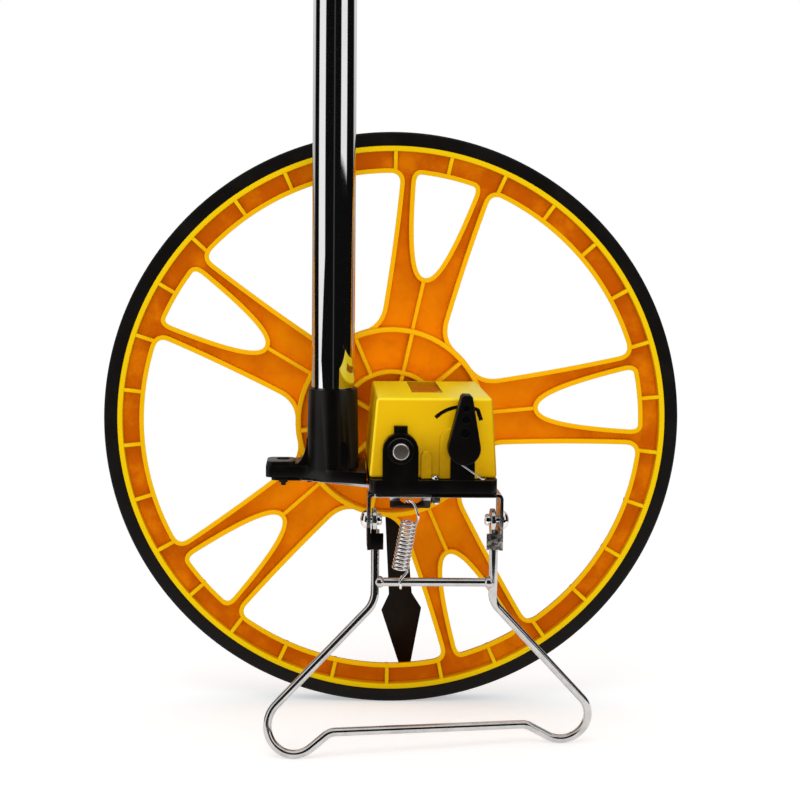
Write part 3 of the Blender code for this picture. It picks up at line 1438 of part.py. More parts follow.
def stand_side(sign, foot_y, rise):
    """Half of the stand's centreline, from its pivot down to the foot bar."""
    foot_z = foot_height(foot_y)
    centre = (FOOT_TURN_HALF, foot_z + FOOT_TURN_RADIUS)
    bend = (LEG_HALF, -LEG_BEND_Z)
    bar = (BAR_HALF, foot_z + rise)
    start = tangent_angle(centre, FOOT_TURN_RADIUS, bend, -1)
    end = tangent_angle(centre, FOOT_TURN_RADIUS, bar, 1)
    end -= 2 * math.pi * math.ceil((end - start) / (2 * math.pi))
    lowest = -math.pi / 2
    foot = arc_points(centre, FOOT_TURN_RADIUS, start, lowest, 5)
    foot += arc_points(centre, FOOT_TURN_RADIUS, lowest, end, 2)[1:]
    leg = rounded([((LEG_HALF, -PIVOT_Z - LEG_EYE_DROP / 2), 0), (bend, LEG_BEND_RADIUS), (foot[0], 0)],
                  4, closed=False)
    bar_path = rounded([(foot[-1], 0), (bar, BAR_BEND_RADIUS), ((0, bar[1]), 0)], 3, closed=False)
    flat = leg[:-1] + foot + bar_path[1:-1]
    points = []
    for half, z in flat:
        x = STAND_X + sign * half
        if z > -CROSS_Z:
            share = (-PIVOT_Z - z) / (CROSS_Z - PIVOT_Z)
            y = -PIVOT_Y + (PIVOT_Y - CROSS_Y) * share
        else:
            share = (-CROSS_Z - z) / (-CROSS_Z - foot_z)
            y = -CROSS_Y + (foot_y + CROSS_Y) * share
            x -= FOOT_SIDE * share
        points.append((x, y, z))
    return points


def make_kickstand(stance, materials):
    left = stand_side(-1, -FOOT_LEFT_Y, BAR_RISE_LEFT)
    right = stand_side(1, -FOOT_RIGHT_Y, BAR_RISE_RIGHT)
    path = left + list(reversed(right))
    stand = wire("stand", path, WIRE_RADIUS, WIRE_SIDES_RESOLUTION)
    cross = cylinder("cross", WIRE_RADIUS, STAND_X - LEG_HALF, STAND_X + LEG_HALF, 8, ALONG_X,
                     (0, -CROSS_Y, -CROSS_Z))
    pieces = [cross]
    for sign in (-1, 1):
        x = STAND_X + sign * LEG_HALF
        weld = (x - sign * WIRE_RADIUS, -CROSS_Y, -CROSS_Z)
        pieces.append(ball("weld", weld, WELD_RADIUS, 8, 6))
        eye = arc_points((-PIVOT_Y, -PIVOT_Z), LEG_EYE_RADIUS, math.radians(-35), math.radians(215), 14)
        low = -PIVOT_Z - LEG_EYE_DROP
        drop = (PIVOT_Y - CROSS_Y) * LEG_EYE_DROP / (CROSS_Z - PIVOT_Z)
        eye += [(-PIVOT_Y + drop - WIRE_RADIUS * 0.9, low), (-PIVOT_Y + drop + WIRE_RADIUS * 0.9, low)]
        hole = ring_points(RIVET_RADIUS + SEAT_GAP, PIN_FLATS, (-PIVOT_Y, -PIVOT_Z))
        middle = x - LEG_EYE_SHIFT
        pieces.append(prism("eye", [eye, hole], middle - LEG_EYE_THICKNESS / 2,
                            middle + LEG_EYE_THICKNESS / 2, SIDE))
    stand = add(stand, *pieces)
    stand = cut(stand, *[
        cylinder("hole", RIVET_RADIUS + SEAT_GAP, STAND_X + sign * LEG_HALF - 2 * WIRE_RADIUS,
                 STAND_X + sign * LEG_HALF + 2 * WIRE_RADIUS, PIN_FLATS, ALONG_X,
                 (0, -PIVOT_Y, -PIVOT_Z)) for sign in (-1, 1)])
    finish(stand, "kickstand", materials["chrome"], stance, (STAND_X, -PIVOT_Y, -PIVOT_Z))


def rivet_profile(outer, inner, sign):
    """Domed head outside the ear, peened tail inside the leg's eye."""
    head = RIVET_HEAD_HEIGHT * sign
    tail = RIVET_TAIL_LENGTH * sign
    steps = 4
    profile = [(0, outer + head)]
    for k in range(1, steps + 1):
        turn = math.pi / 2 * k / steps
        profile.append((RIVET_HEAD_RADIUS * math.sin(turn), outer + head * math.cos(turn)))
    profile += [
        (RIVET_RADIUS, outer),
        (RIVET_RADIUS, inner),
        (RIVET_TAIL_RADIUS, inner),
        (RIVET_TAIL_RADIUS * 0.8, inner - tail),
        (0, inner - tail),
    ]
    return profile


def make_rivets(stance, materials):
    half_eye = LEG_EYE_THICKNESS / 2
    left_inner = STAND_X - LEG_HALF - LEG_EYE_SHIFT + half_eye + SEAT_GAP
    right_inner = STAND_X + LEG_HALF - LEG_EYE_SHIFT - half_eye - SEAT_GAP
    left_outer = -BRACKET_LEFT - SEAT_GAP
    right_outer = BRACKET_RIGHT + SEAT_GAP
    for name, outer, inner, sign in (("stand_rivet_left", left_outer, left_inner, -1),
                                     ("stand_rivet_right", right_outer, right_inner, 1)):
        rivet = turned(name, rivet_profile(outer, inner, sign), PIN_FLATS, ALONG_X,
                       (0, -PIVOT_Y, -PIVOT_Z), closed=False)
        finish(rivet, name, materials["chrome"], stance)


# Stand spring

def stand_spring_points():
    axis = (SPRING_BOTTOM - SPRING_TOP).normalized()
    across = axis.cross(Vector((0, 1, 0))).normalized()
    other = axis.cross(across)
    length = (SPRING_BOTTOM - SPRING_TOP).length
    count = SPRING_TURNS * SPRING_POINTS_PER_TURN
    coil = []
    for i in range(count + 1):
        turn = 2 * math.pi * i / SPRING_POINTS_PER_TURN
        place = SPRING_TOP + axis * (length * i / count)
        place += (across * math.cos(turn) + other * math.sin(turn)) * SPRING_COIL_RADIUS
        coil.append(tuple(place))
    wire_step = 2 * SPRING_WIRE_RADIUS
    strip_top = -HOOK_SLOT_BOTTOM + SPRING_WIRE_RADIUS + SLIDE_GAP
    first = Vector(coil[0])
    hook_x = SPRING_TOP.x
    front_y = -WEB_FRONT - SPRING_WIRE_RADIUS - SEAT_GAP
    top_hook = [
        (hook_x - wire_step, -WEB_FRONT + BRACKET_SHEET + wire_step, strip_top - 2 * wire_step),
        (hook_x - wire_step, -WEB_FRONT + BRACKET_SHEET + wire_step / 2, strip_top),
        (hook_x, front_y + wire_step / 2, strip_top + wire_step / 3),
        (hook_x + 2 * wire_step, front_y - wire_step, strip_top - wire_step),
        (first.x + wire_step / 2, front_y - 2 * wire_step, first.z + 3 * wire_step),
    ]
    bottom_hook = []
    hook_centre = Vector((SPRING_BOTTOM.x, -CROSS_Y, -CROSS_Z))
    for k in range(9):
        turn = math.radians(150 + 32 * k)
        bottom_hook.append((hook_centre.x + wire_step * (0.1 * k),
                            hook_centre.y + SPRING_HOOK_RADIUS * math.cos(turn),
                            hook_centre.z + SPRING_HOOK_RADIUS * math.sin(turn)))
    lead_in = smooth_path(top_hook + [coil[0], coil[2]], 4)
    lead_in = lead_in[:-4]
    lead_out = smooth_path([coil[-3], coil[-1]] + bottom_hook, 2)
    lead_out = lead_out[2:]
    return lead_in[:-1] + coil + lead_out[1:], coil


def least_coil_gap(coil):
    """Smallest distance between neighbouring turns, less the wire's thickness."""
    least = None
    for i in range(len(coil) - SPRING_POINTS_PER_TURN):
        first = Vector(coil[i])
        for k in range(SPRING_POINTS_PER_TURN // 2 + 1, SPRING_POINTS_PER_TURN + 3):
            if i + k >= len(coil):
                break
            distance = (Vector(coil[i + k]) - first).length
            if least is None or distance < least:
                least = distance
    return least - 2 * SPRING_WIRE_RADIUS


def make_stand_spring(stance, materials):
    points, coil = stand_spring_points()
    print("least gap between the spring's turns, m: %.5f" % least_coil_gap(coil))
    spring = wire("spring", points, SPRING_WIRE_RADIUS, 1)
    finish(spring, "stand_spring", materials["chrome"], stance)


# Pole socket

def flange_outline():
    lip = SOCKET_FOOT_RADIUS * 0.2
    corners = [
        ((-FLANGE_LEFT, -FLANGE_FRONT_LEFT), FLANGE_CORNER),
        ((-POLE_X - SOCKET_FOOT_RADIUS, -FLANGE_FRONT_LEFT), SOCKET_FOOT_RADIUS),
        ((-POLE_X - lip, -POLE_Y - SOCKET_FOOT_RADIUS - lip / 4), SOCKET_FOOT_RADIUS),
        ((-FLANGE_RIGHT, -FLANGE_FRONT_RIGHT), FLANGE_CORNER / 3),
        ((-FLANGE_RIGHT, -FLANGE_BACK), FLANGE_CORNER),
        ((-FLANGE_LEFT, -FLANGE_BACK), FLANGE_CORNER),
    ]
    return rounded(corners, 3)


def make_socket(stance, materials):
    centre = (-POLE_X, -POLE_Y, 0)
    low = -PLATE_TOP - PLATE_THICKNESS
    top = -FLANGE_TOP
    root = (low + top) / 2
    sleeve_profile = [(0, root), (SOCKET_FOOT_RADIUS, root), (SOCKET_FOOT_RADIUS, top),
                      (SOCKET_TOP_RADIUS, SOCKET_TOP), (0, SOCKET_TOP)]
    flange = prism("flange", [flange_outline()], low, top, TOP)
    sleeve = turned("sleeve", sleeve_profile, TUBE_FLATS, ALONG_Z, centre, closed=False)
    side = -POLE_X - SOCKET_FOOT_RADIUS
    gusset_loop = [(side + GUSSET_REACH / 2, root), (side + GUSSET_REACH / 2, top + GUSSET_HEIGHT)]
    gusset_loop += arc_points((side - GUSSET_REACH, top + GUSSET_HEIGHT), GUSSET_REACH, 0,
                              -math.pi / 2, 5)[0:1]
    curve = []
    for k in range(6):
        turn = math.pi / 2 * k / 5
        curve.append((side - GUSSET_REACH * (1 - math.cos(turn)), top + GUSSET_HEIGHT * (1 - math.sin(turn))))
    gusset_loop = gusset_loop[:2] + curve + [(side - GUSSET_REACH, root)]
    gusset = prism("gusset", [gusset_loop], -POLE_Y - GUSSET_THICKNESS / 2,
                   -POLE_Y + GUSSET_THICKNESS / 2, FRONT)
    rib_middle = -POLE_X + KEY_RIB_X
    rib_loop = arch_outline(rib_middle, -KEY_RIB_TOP - KEY_RIB_WIDTH / 2, KEY_RIB_WIDTH / 2, root)
    rib_face = -POLE_Y - math.sqrt(SOCKET_FOOT_RADIUS ** 2 - KEY_RIB_X ** 2)
    rib = prism("rib", [rib_loop], rib_face - KEY_RIB_PROUD, rib_face + KEY_RIB_WIDTH, FRONT)
    pad_front = -FLANGE_FRONT_LEFT + FLANGE_CORNER / 2
    pad_left = -FLANGE_LEFT + FLANGE_CORNER / 6
    pad_corners = [((pad_left, pad_front), EAR_PAD_ROUND),
                   ((pad_left + EAR_PAD_WIDTH, pad_front), EAR_PAD_ROUND),
                   ((pad_left + EAR_PAD_WIDTH, pad_front + EAR_PAD_DEPTH), EAR_PAD_ROUND),
                   ((pad_left, pad_front + EAR_PAD_DEPTH), EAR_PAD_ROUND)]
    pad = prism("pad", [rounded(pad_corners)], root, top + EAR_PAD_HEIGHT, TOP)
    socket = add(flange, sleeve, gusset, rib, pad)
    bore = POLE_RADIUS + SEAT_GAP
    cuts = [cylinder("bore", bore, -SOCKET_FLOOR, SOCKET_TOP + CUT_OVERRUN, TUBE_FLATS, ALONG_Z, centre)]
    for index, (x, y) in enumerate(zip(FLANGE_SCREW_X, FLANGE_SCREW_Y)):
        cuts.append(cylinder("hole", SCREW_RADIUS + SCREW_GAP, low - CUT_OVERRUN,
                             top + EAR_PAD_HEIGHT + CUT_OVERRUN, PIN_FLATS, ALONG_Z, (x, y, 0)))
        if index == 0:
            cuts.append(cylinder("dip", EAR_DIP_RADIUS, top, top + EAR_PAD_HEIGHT + CUT_OVERRUN,
                                 SHAFT_FLATS, ALONG_Z, (x, y, 0)))
    socket = cut(socket, *cuts)
    finish(socket, "pole_socket", materials["black_plastic"], stance)


# Telescopic pole

def tube_piece(name, radius, wall, low, high, material, stance):
    tube = pipe(name, radius - wall, radius, low, high, TUBE_FLATS, ALONG_Z, (-POLE_X, -POLE_Y, 0))
    finish(tube, name, material, stance, (-POLE_X, -POLE_Y, 0))


def collar_piece(name, lower_radius, upper_radius, tube_top, material, stance):
    """Twist collar over a tube's mouth, with a smaller bore above it for the next tube."""
    outer = lower_radius + COLLAR_WALL
    low = tube_top - COLLAR_OVERLAP
    high = low + COLLAR_HEIGHT
    step = tube_top + SEAT_GAP
    waist = outer - COLLAR_WAIST
    profile = [
        (lower_radius + SEAT_GAP, low),
        (outer - COLLAR_CHAMFER, low),
        (outer, low + COLLAR_CHAMFER),
        (waist, low + COLLAR_HEIGHT * WAIST_SHARE),
        (outer, high - COLLAR_CHAMFER),
        (outer - COLLAR_CHAMFER, high),
        (upper_radius + SLIDE_GAP, high),
        (upper_radius + SLIDE_GAP, step),
        (lower_radius + SEAT_GAP, step),
    ]
    collar = turned(name, profile, TUBE_FLATS, ALONG_Z, (-POLE_X, -POLE_Y, 0))
    finish(collar, name, material, stance, (-POLE_X, -POLE_Y, 0))
    return high


def make_pole(stance, materials):
    tube_piece("lower_tube", POLE_RADIUS, POLE_WALL, -LOWER_TUBE_BOTTOM, LOWER_TUBE_TOP,
               materials["chrome"], stance)
    first_top = collar_piece("lower_collar", POLE_RADIUS, MIDDLE_RADIUS, LOWER_TUBE_TOP,
                             materials["black_plastic"], stance)
    middle_top = first_top + SLIDE_GAP + COLLAR_OVERLAP
    tube_piece("middle_tube", MIDDLE_RADIUS, MIDDLE_WALL, MIDDLE_TUBE_BOTTOM, middle_top,
               materials["chrome"], stance)
    second_top = collar_piece("upper_collar", MIDDLE_RADIUS, UPPER_RADIUS, middle_top,
                              materials["black_plastic"], stance)
    grip_low = second_top + SLIDE_GAP
    tube_piece("upper_tube", UPPER_RADIUS, UPPER_WALL, UPPER_TUBE_BOTTOM, grip_low + GRIP_OVERLAP,
               materials["chrome"], stance)
    make_grip(grip_low, stance, materials)


def make_grip(low, stance, materials):
    """Rubber grip with ridges and a closed cap."""
    bore = UPPER_RADIUS + SEAT_GAP
    outer = UPPER_RADIUS + GRIP_WALL
    high = low + GRIP_LENGTH
    profile = [(0, high - GRIP_CAP), (bore, high - GRIP_CAP), (bore, low),
               (outer - COLLAR_CHAMFER, low), (outer, low + COLLAR_CHAMFER)]
    span = (GRIP_LENGTH - 6 * COLLAR_CHAMFER) / GRIP_RIDGES
    for index in range(GRIP_RIDGES):
        start = low + 3 * COLLAR_CHAMFER + index * span
        profile.append((outer - GRIP_RIDGE, start + span * 0.2))
        profile.append((outer, start + span * 0.6))
    profile += [(outer, high - COLLAR_CHAMFER), (outer - 2 * COLLAR_CHAMFER, high), (0, high)]
    grip = turned("grip", profile, TUBE_FLATS, ALONG_Z, (-POLE_X, -POLE_Y, 0), closed=False)
    finish(grip, "grip", materials["rubber"], stance, (-POLE_X, -POLE_Y, 0))


# Assembly

def make_materials():
    return {
        "rubber": make_material("rubber", (0.015, 0.015, 0.016), 0.75),
        "wheel_yellow": make_material("wheel_yellow", (0.90, 0.42, 0.01), 0.42),
        "housing_yellow": make_material("housing_yellow", (0.82, 0.62, 0.02), 0.38),
        "black_plastic": make_material("black_plastic", (0.012, 0.012, 0.013), 0.40),
        "white_plastic": make_material("white_plastic", (0.75, 0.74, 0.70), 0.50),
        "drum_white": make_material("drum_white", (0.80, 0.79, 0.75), 0.45),
        "clear_plastic": make_material("clear_plastic", (0.75, 0.40, 0.10), 0.10, 0.0, 0.45),
        "steel": make_material("steel", (0.55, 0.54, 0.52), 0.35, 1.0),
        "zinc": make_material("zinc", (0.66, 0.66, 0.66), 0.28, 1.0),
        "chrome": make_material("chrome", (0.82, 0.82, 0.83), 0.10, 1.0),
    }


def settle(stance):
    """Lean the part onto its stand, put it on Z = 0 and centre it over the origin."""
    stance.rotation_euler = (LEAN_ANGLE, 0, 0)
    bpy.context.view_layer.update()
    low = Vector((math.inf, math.inf, math.inf))
    high = -low
    for item in PARTS:
        matrix = item.matrix_world
        for vert in item.data.vertices:
            place = matrix @ vert.co
            for k in range(3):
                low[k] = min(low[k], place[k])
                high[k] = max(high[k], place[k])
    stance.location = (-(low.x + high.x) / 2, -(low.y + high.y) / 2, -low.z)
    bpy.context.view_layer.update()


def build():
    clear_scene()
    PARTS.clear()
    materials = make_materials()
    stance = object_from("stance", None)
    make_tyre(stance, materials)
    make_wheel(stance, materials)
    make_axle(stance, materials)
    make_pointer(stance, materials)
    make_drive_gear(stance, materials)
    make_base_plate(stance, materials)
    make_bush("front_bush", -PLATE_FRONT, BOSS_DEPTH, stance, materials)
    make_bush("rear_bush", -PEDESTAL_FRONT, PEDESTAL_DEPTH, stance, materials)
    make_housing(stance, materials)
    make_window(stance, materials)
    make_counter_frame(stance, materials)
    make_counter(stance, materials)
    make_reset_lever(stance, materials)
    make_reset_comb(stance, materials)
    make_reset_spring(stance, materials)
    make_fasteners(stance, materials)
    make_stand_bracket(stance, materials)
    make_kickstand(stance, materials)
    make_rivets(stance, materials)
    make_stand_spring(stance, materials)
    make_socket(stance, materials)
    make_pole(stance, materials)
    settle(stance)


build()
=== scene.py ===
"""Measuring wheel: the visible pieces, built around the packed solids.

Lengths are metres. Pieces are drawn in the axle's own frame: the axle runs along Y, the
counter side faces -Y, X runs to the right and the axle's middle is at X = 0 and Z = 0.
settle() then leans each finished mesh with the wheel onto its stand.
"""

import json
import math

import bmesh
import bpy
from bpy.props import FloatProperty, FloatVectorProperty, PointerProperty
from bpy.types import Operator, Panel, PropertyGroup
from mathutils import Matrix, Vector


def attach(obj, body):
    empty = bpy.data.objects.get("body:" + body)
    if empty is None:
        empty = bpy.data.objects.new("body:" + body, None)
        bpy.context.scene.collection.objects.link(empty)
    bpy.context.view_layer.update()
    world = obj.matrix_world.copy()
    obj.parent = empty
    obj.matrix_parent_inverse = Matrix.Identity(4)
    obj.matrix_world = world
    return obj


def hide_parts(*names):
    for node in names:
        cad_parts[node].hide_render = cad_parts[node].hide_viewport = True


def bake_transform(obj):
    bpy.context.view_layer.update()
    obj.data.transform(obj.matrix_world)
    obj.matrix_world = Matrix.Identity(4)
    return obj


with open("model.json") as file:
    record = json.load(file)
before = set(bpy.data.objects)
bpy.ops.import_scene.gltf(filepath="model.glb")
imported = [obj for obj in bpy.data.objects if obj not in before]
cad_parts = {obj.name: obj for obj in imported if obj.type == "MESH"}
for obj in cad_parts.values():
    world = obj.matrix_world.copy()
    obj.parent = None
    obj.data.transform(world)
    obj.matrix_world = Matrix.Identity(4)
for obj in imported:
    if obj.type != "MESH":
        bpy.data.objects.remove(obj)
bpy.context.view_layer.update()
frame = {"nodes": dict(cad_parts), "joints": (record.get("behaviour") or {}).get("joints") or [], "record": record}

bl_info = {
    "name": "Measuring wheel",
    "version": (1, 0, 0),
    "blender": (4, 5, 0),
    "location": "3D View > Sidebar > Measuring wheel",
    "description": "Builds a measuring wheel's visible pieces around its packed solids",
    "category": "Object",
}

SPIN = next(joint for joint in frame["joints"] if joint["name"] == "wheel_spin")
AXLE_PLACE = Vector(SPIN["pos_m"])
LEAN = math.atan2(SPIN["axis"][2], SPIN["axis"][1])
STANCE = Matrix.Translation(AXLE_PLACE) @ Matrix.Rotation(LEAN, 4, "X")
AXLE_LINE = (0, 1, 0)
UPRIGHT = (0, 0, 1)
ACROSS = (1, 0, 0)

# Clearances
SEAT_GAP = 0.0003
SLIDE_GAP = 0.0005

# Distances under which points are merged
MADE_WELD = 0.000002
PACKED_WELD = 0.00001

# Rounded edges
HAIR_EDGE = 0.0001
AXLE_EDGE = 0.00012
FINE_EDGE = 0.0002
SOFT_EDGE = 0.0003
FULL_EDGE = 0.0004
EYE_EDGE = 0.0005
SOCKET_EDGE = 0.0008

# Tyre and wheel moulding
TYRE_THICKNESS = 0.00735
TYRE_WIDTH = 0.0200
TYRE_EDGE = 0.0016
SPOKE_COUNT = 5
SPOKE_TURN = math.radians(5.5)
RIM_RIB_COUNT = 30
HUB_RIB_COUNT = 10
RIM_WALL = 0.0029
RIM_CHANNEL = 0.0093
WINDOW_WALL = 0.0026
WINDOW_TAPER = 0.0022
RIM_PROUD = 0.0010
CHANNEL_DEPTH = 0.0052
FLOOR_THICKNESS = 0.0020
BACK_LIP = 0.0008
RIB_WIDTH = 0.0021
RIB_SETBACK = 0.0004
SPOKE_HALF_AT_HUB = 0.0181
SPOKE_HALF_AT_RIM = 0.0258
WINDOW_HUB_RADIUS = 0.0531
WINDOW_HUB_TRIM = 0.0110
WINDOW_RIM_TRIM = 0.0060
ARM_APEX = 0.0815
ARM_HALF_AT_RIM = 0.0171
ARM_RIM_TRIM = 0.0026
ARM_SPREAD_POWER = 0.94
HUB_RING_RADIUS = 0.0526
HUB_RING_WALL = 0.0027
HUB_PROUD = 0.0061
INNER_RING_RADIUS = 0.0292
INNER_RING_WALL = 0.0023
HUB_TUBE_RADIUS = 0.0110
HUB_TUBE_PROUD = 0.0095
HUB_TUBE_BACK = 0.0210
FLOOR_OVERLAP = 0.0020
MOULD_EDGE = 0.0005

# Axle
AXLE_RADIUS = 0.0040
AXLE_FRONT = 0.1005
AXLE_COLLAR_RADIUS = 0.0065
AXLE_COLLAR_WIDTH = 0.0035
AXLE_TAIL_RADIUS = 0.0030
AXLE_TAIL_LENGTH = 0.0090
AXLE_CHAMFER = 0.0005

# Base plate and housing
PLATE_FRONT = 0.0970
PLATE_TOP = 0.0143
BOSS_RADIUS = 0.0086
BOSS_TAB_HEIGHT = 0.0033
BOSS_TAB_DEPTH = 0.0022
BOSS_TAB_NOTCH = 0.0030
BUSH_RADIUS = 0.0059
HOUSING_LEFT = 0.0149
HOUSING_RIGHT = 0.0471
HOUSING_FRONT = 0.0920
HOUSING_BACK = 0.0164
HOUSING_TOP = 0.0249
HOUSING_DRAFT_LEFT = 0.0033
HOUSING_DRAFT_RIGHT = 0.0025
HOUSING_DRAFT_BACK = 0.0040
HOUSING_WALL = 0.0020
HOUSING_EDGE = 0.0016
PAD_LEFT = 0.0192
PAD_RIGHT = 0.0380
PAD_TOP = 0.0102
PAD_CORNER = 0.0055
PAD_PROUD = 0.0014
STUB_LEFT = 0.0102
STUB_WIDTH = 0.0048
STUB_TOP = 0.0009
STUB_PROUD = 0.0018
WINDOW_LEFT = 0.0069
WINDOW_RIGHT = 0.0223
WINDOW_FRONT = 0.0697
GUIDE_REACH = 0.0188
GUIDE_HALF = 0.0010
GUIDE_START = math.radians(134.0)
GUIDE_END = math.radians(67.0)
GUIDE_TAIL = 0.0054
GUIDE_TAIL_TURN = math.radians(-72)
LEVER_TILT = math.radians(-2.2)
LEVER_SHAFT_RADIUS = 0.0025
DIMPLE_REACH = (0.0076, 0.0141, 0.0195)
DIMPLE_RADIUS = (0.0023, 0.0019, 0.0017)

# Stand wire
WIRE_RADIUS = 0.0021
STAND_X = 0.0171
LEG_HALF = 0.0288
PIVOT_Y = 0.0905
PIVOT_Z = 0.0347
CROSS_Y = 0.0922
CROSS_Z = 0.0652
LEG_BEND_Z = 0.0750
LEG_BEND_RADIUS = 0.0120
FOOT_TURN_RADIUS = 0.0130
FOOT_TURN_HALF = 0.0662
FOOT_SIDE = 0.0014
BAR_HALF = 0.0490
BAR_RISE_LEFT = 0.0101
BAR_RISE_RIGHT = 0.0076
BAR_BEND_RADIUS = 0.0080
FOOT_LEFT_Y = 0.1098
FOOT_RIGHT_Y = 0.0815
LEG_EYE_RADIUS = 0.0055
LEG_EYE_THICKNESS = 0.0024
LEG_EYE_DROP = 0.0100
LEG_EYE_SHIFT = 0.0005
LEG_EYE_START = math.radians(-35)
LEG_EYE_END = math.radians(215)
CROSS_WELD_RADIUS = 0.0029
TREAD_INSET = 0.0012
RIVET_RADIUS = 0.0020
RIVET_HEAD_RADIUS = 0.0045
RIVET_HEAD_HEIGHT = 0.0030
RIVET_TAIL_RADIUS = 0.0029
RIVET_TAIL_LENGTH = 0.0022
BRACKET_LEFT = 0.0157
BRACKET_RIGHT = 0.0499

# Springs
SPRING_WIRE = 0.0006
SPRING_COIL = 0.0036
SPRING_TURNS = 13
SPRING_TOP = Vector((0.0043, -0.0972, -0.0340))
SPRING_BOTTOM = Vector((0.0004, -0.0936, -0.0587))
SPRING_HOOK_RADIUS = 0.0030
SPRING_HOOK_START = 150
SPRING_HOOK_STEP = 32
SPRING_POINTS_PER_TURN = 28
HOOK_SLOT_BOTTOM = 0.0256
WEB_FRONT = 0.0968
BRACKET_SHEET = 0.0016
LEVER_X = 0.0300
LEVER_Z = 0.0019
RESET_WIRE = 0.0004
RESET_LEG_DROP = 0.0073
RESET_LEG_SIDE = 0.0025
RESET_LEG_END = 0.0094

# Telescopic pole
POLE_X = 0.0325
POLE_Y = 0.0540
POLE_RADIUS = 0.0110
MIDDLE_RADIUS = 0.0094
UPPER_RADIUS = 0.0078
TUBE_WALL = 0.0010

# Stage
LAMP_AIM = (0, 0, 0.2)
LOW_LAMP_AIM = (0, 0, 0.12)
LAMPS = [
    ("lamp_key", (-0.35, -1.05, 1.35), LAMP_AIM, (1.1, 0.8), 4.5),
    ("lamp_front", (0.05, -1.45, 0.06), LOW_LAMP_AIM, (0.8, 0.4), 9.5),
]
FLOOR_SIZE = (1.1, 0.84)
FLOOR_MIDDLE = (0, 0.20, 0)
FLOOR_CUTS = 8
FLOOR_GLOW = 0.42
CAMERA_PLACE = (-0.03471, -0.71421, 0.10580)
CAMERA_YAW = math.radians(0.4235)
CAMERA_PITCH = math.radians(4.2026)
CAMERA_ROLL = math.radians(0.336)
CAMERA_LENS = 58.5
CAMERA_SENSOR = 36
CAMERA_SHIFT = (0.0767, -0.0938)
CAMERA_CLIP = (0.01, 50)

# Room round the object, in degrees across and up, and the light that each part sends
ROOM_LIGHT = 0.68
ROOM_DARK = 0.004
LEFT_BOX_START = -89.0
LEFT_BOX_END = -47.0
LEFT_BOX_LOW = -9.0
LEFT_BOX_SLOPE = 2.2
LEFT_BOX_LIGHT = 0.94
RIGHT_BOX = (33.0, 70.0)
RIGHT_BOX_LOW = 1.6
RIGHT_BOX_FADE = 1.8
RIGHT_BOX_LIGHT = 0.92
BOX_SOFT = 3.0
FRONT_SLOT = (-5.0, 5.0)
FRONT_SLOT_SOFT = 4.0
FRONT_SLOT_LIGHT = 0.05
BACK_WALL_START = 118.0
BACK_WALL_FADE = 10.0
CEILING_START = 38.0
CEILING_FADE = 14.0
CEILING_LIGHT = 0.95
GROUND_START = -34.0
GROUND_FADE = 10.0
GROUND_LIGHT = 0.40


# Shader maths

class Value:
    """A shader socket that numbers and other sockets can be added to, or multiplied with."""

    def __init__(self, graph, socket):
        self.graph = graph
        self.socket = socket

    def math(self, operation, *others, first=None):
        values = [self, *others] if first is None else [first, self]
        node = self.graph.add("ShaderNodeMath", {"operation": operation}, *values)
        return node.value()

    def __add__(self, other):
        return self.math("ADD", other)

    __radd__ = __add__

    def __sub__(self, other):
        return self.math("SUBTRACT", other)

    def __rsub__(self, other):
        return self.math("SUBTRACT", first=other)

    def __mul__(self, other):
        return self.math("MULTIPLY", other)

    __rmul__ = __mul__

    def __truediv__(self, other):
        return self.math("DIVIDE", other)

    def root(self):
        return self.math("SQRT")

    def clamped(self):
        node = self.graph.add("ShaderNodeClamp", {}, self, 0.0, 1.0)
        return node.value()

    def eased(self, low, high):
        """0 at low, 1 at high, smooth between."""
        settings = {"interpolation_type": "SMOOTHSTEP"}
        return self.graph.add("ShaderNodeMapRange", settings, self, low, high, 0.0, 1.0).value()


class Made:
    """A node that Graph.add made."""

    def __init__(self, graph, node):
        self.graph = graph
        self.node = node

    def value(self, name=None):
        sockets = [socket for socket in self.node.outputs if socket.enabled]
        if name is not None:
            sockets = [socket for socket in sockets if socket.name == name]
        return Value(self.graph, sockets[0])


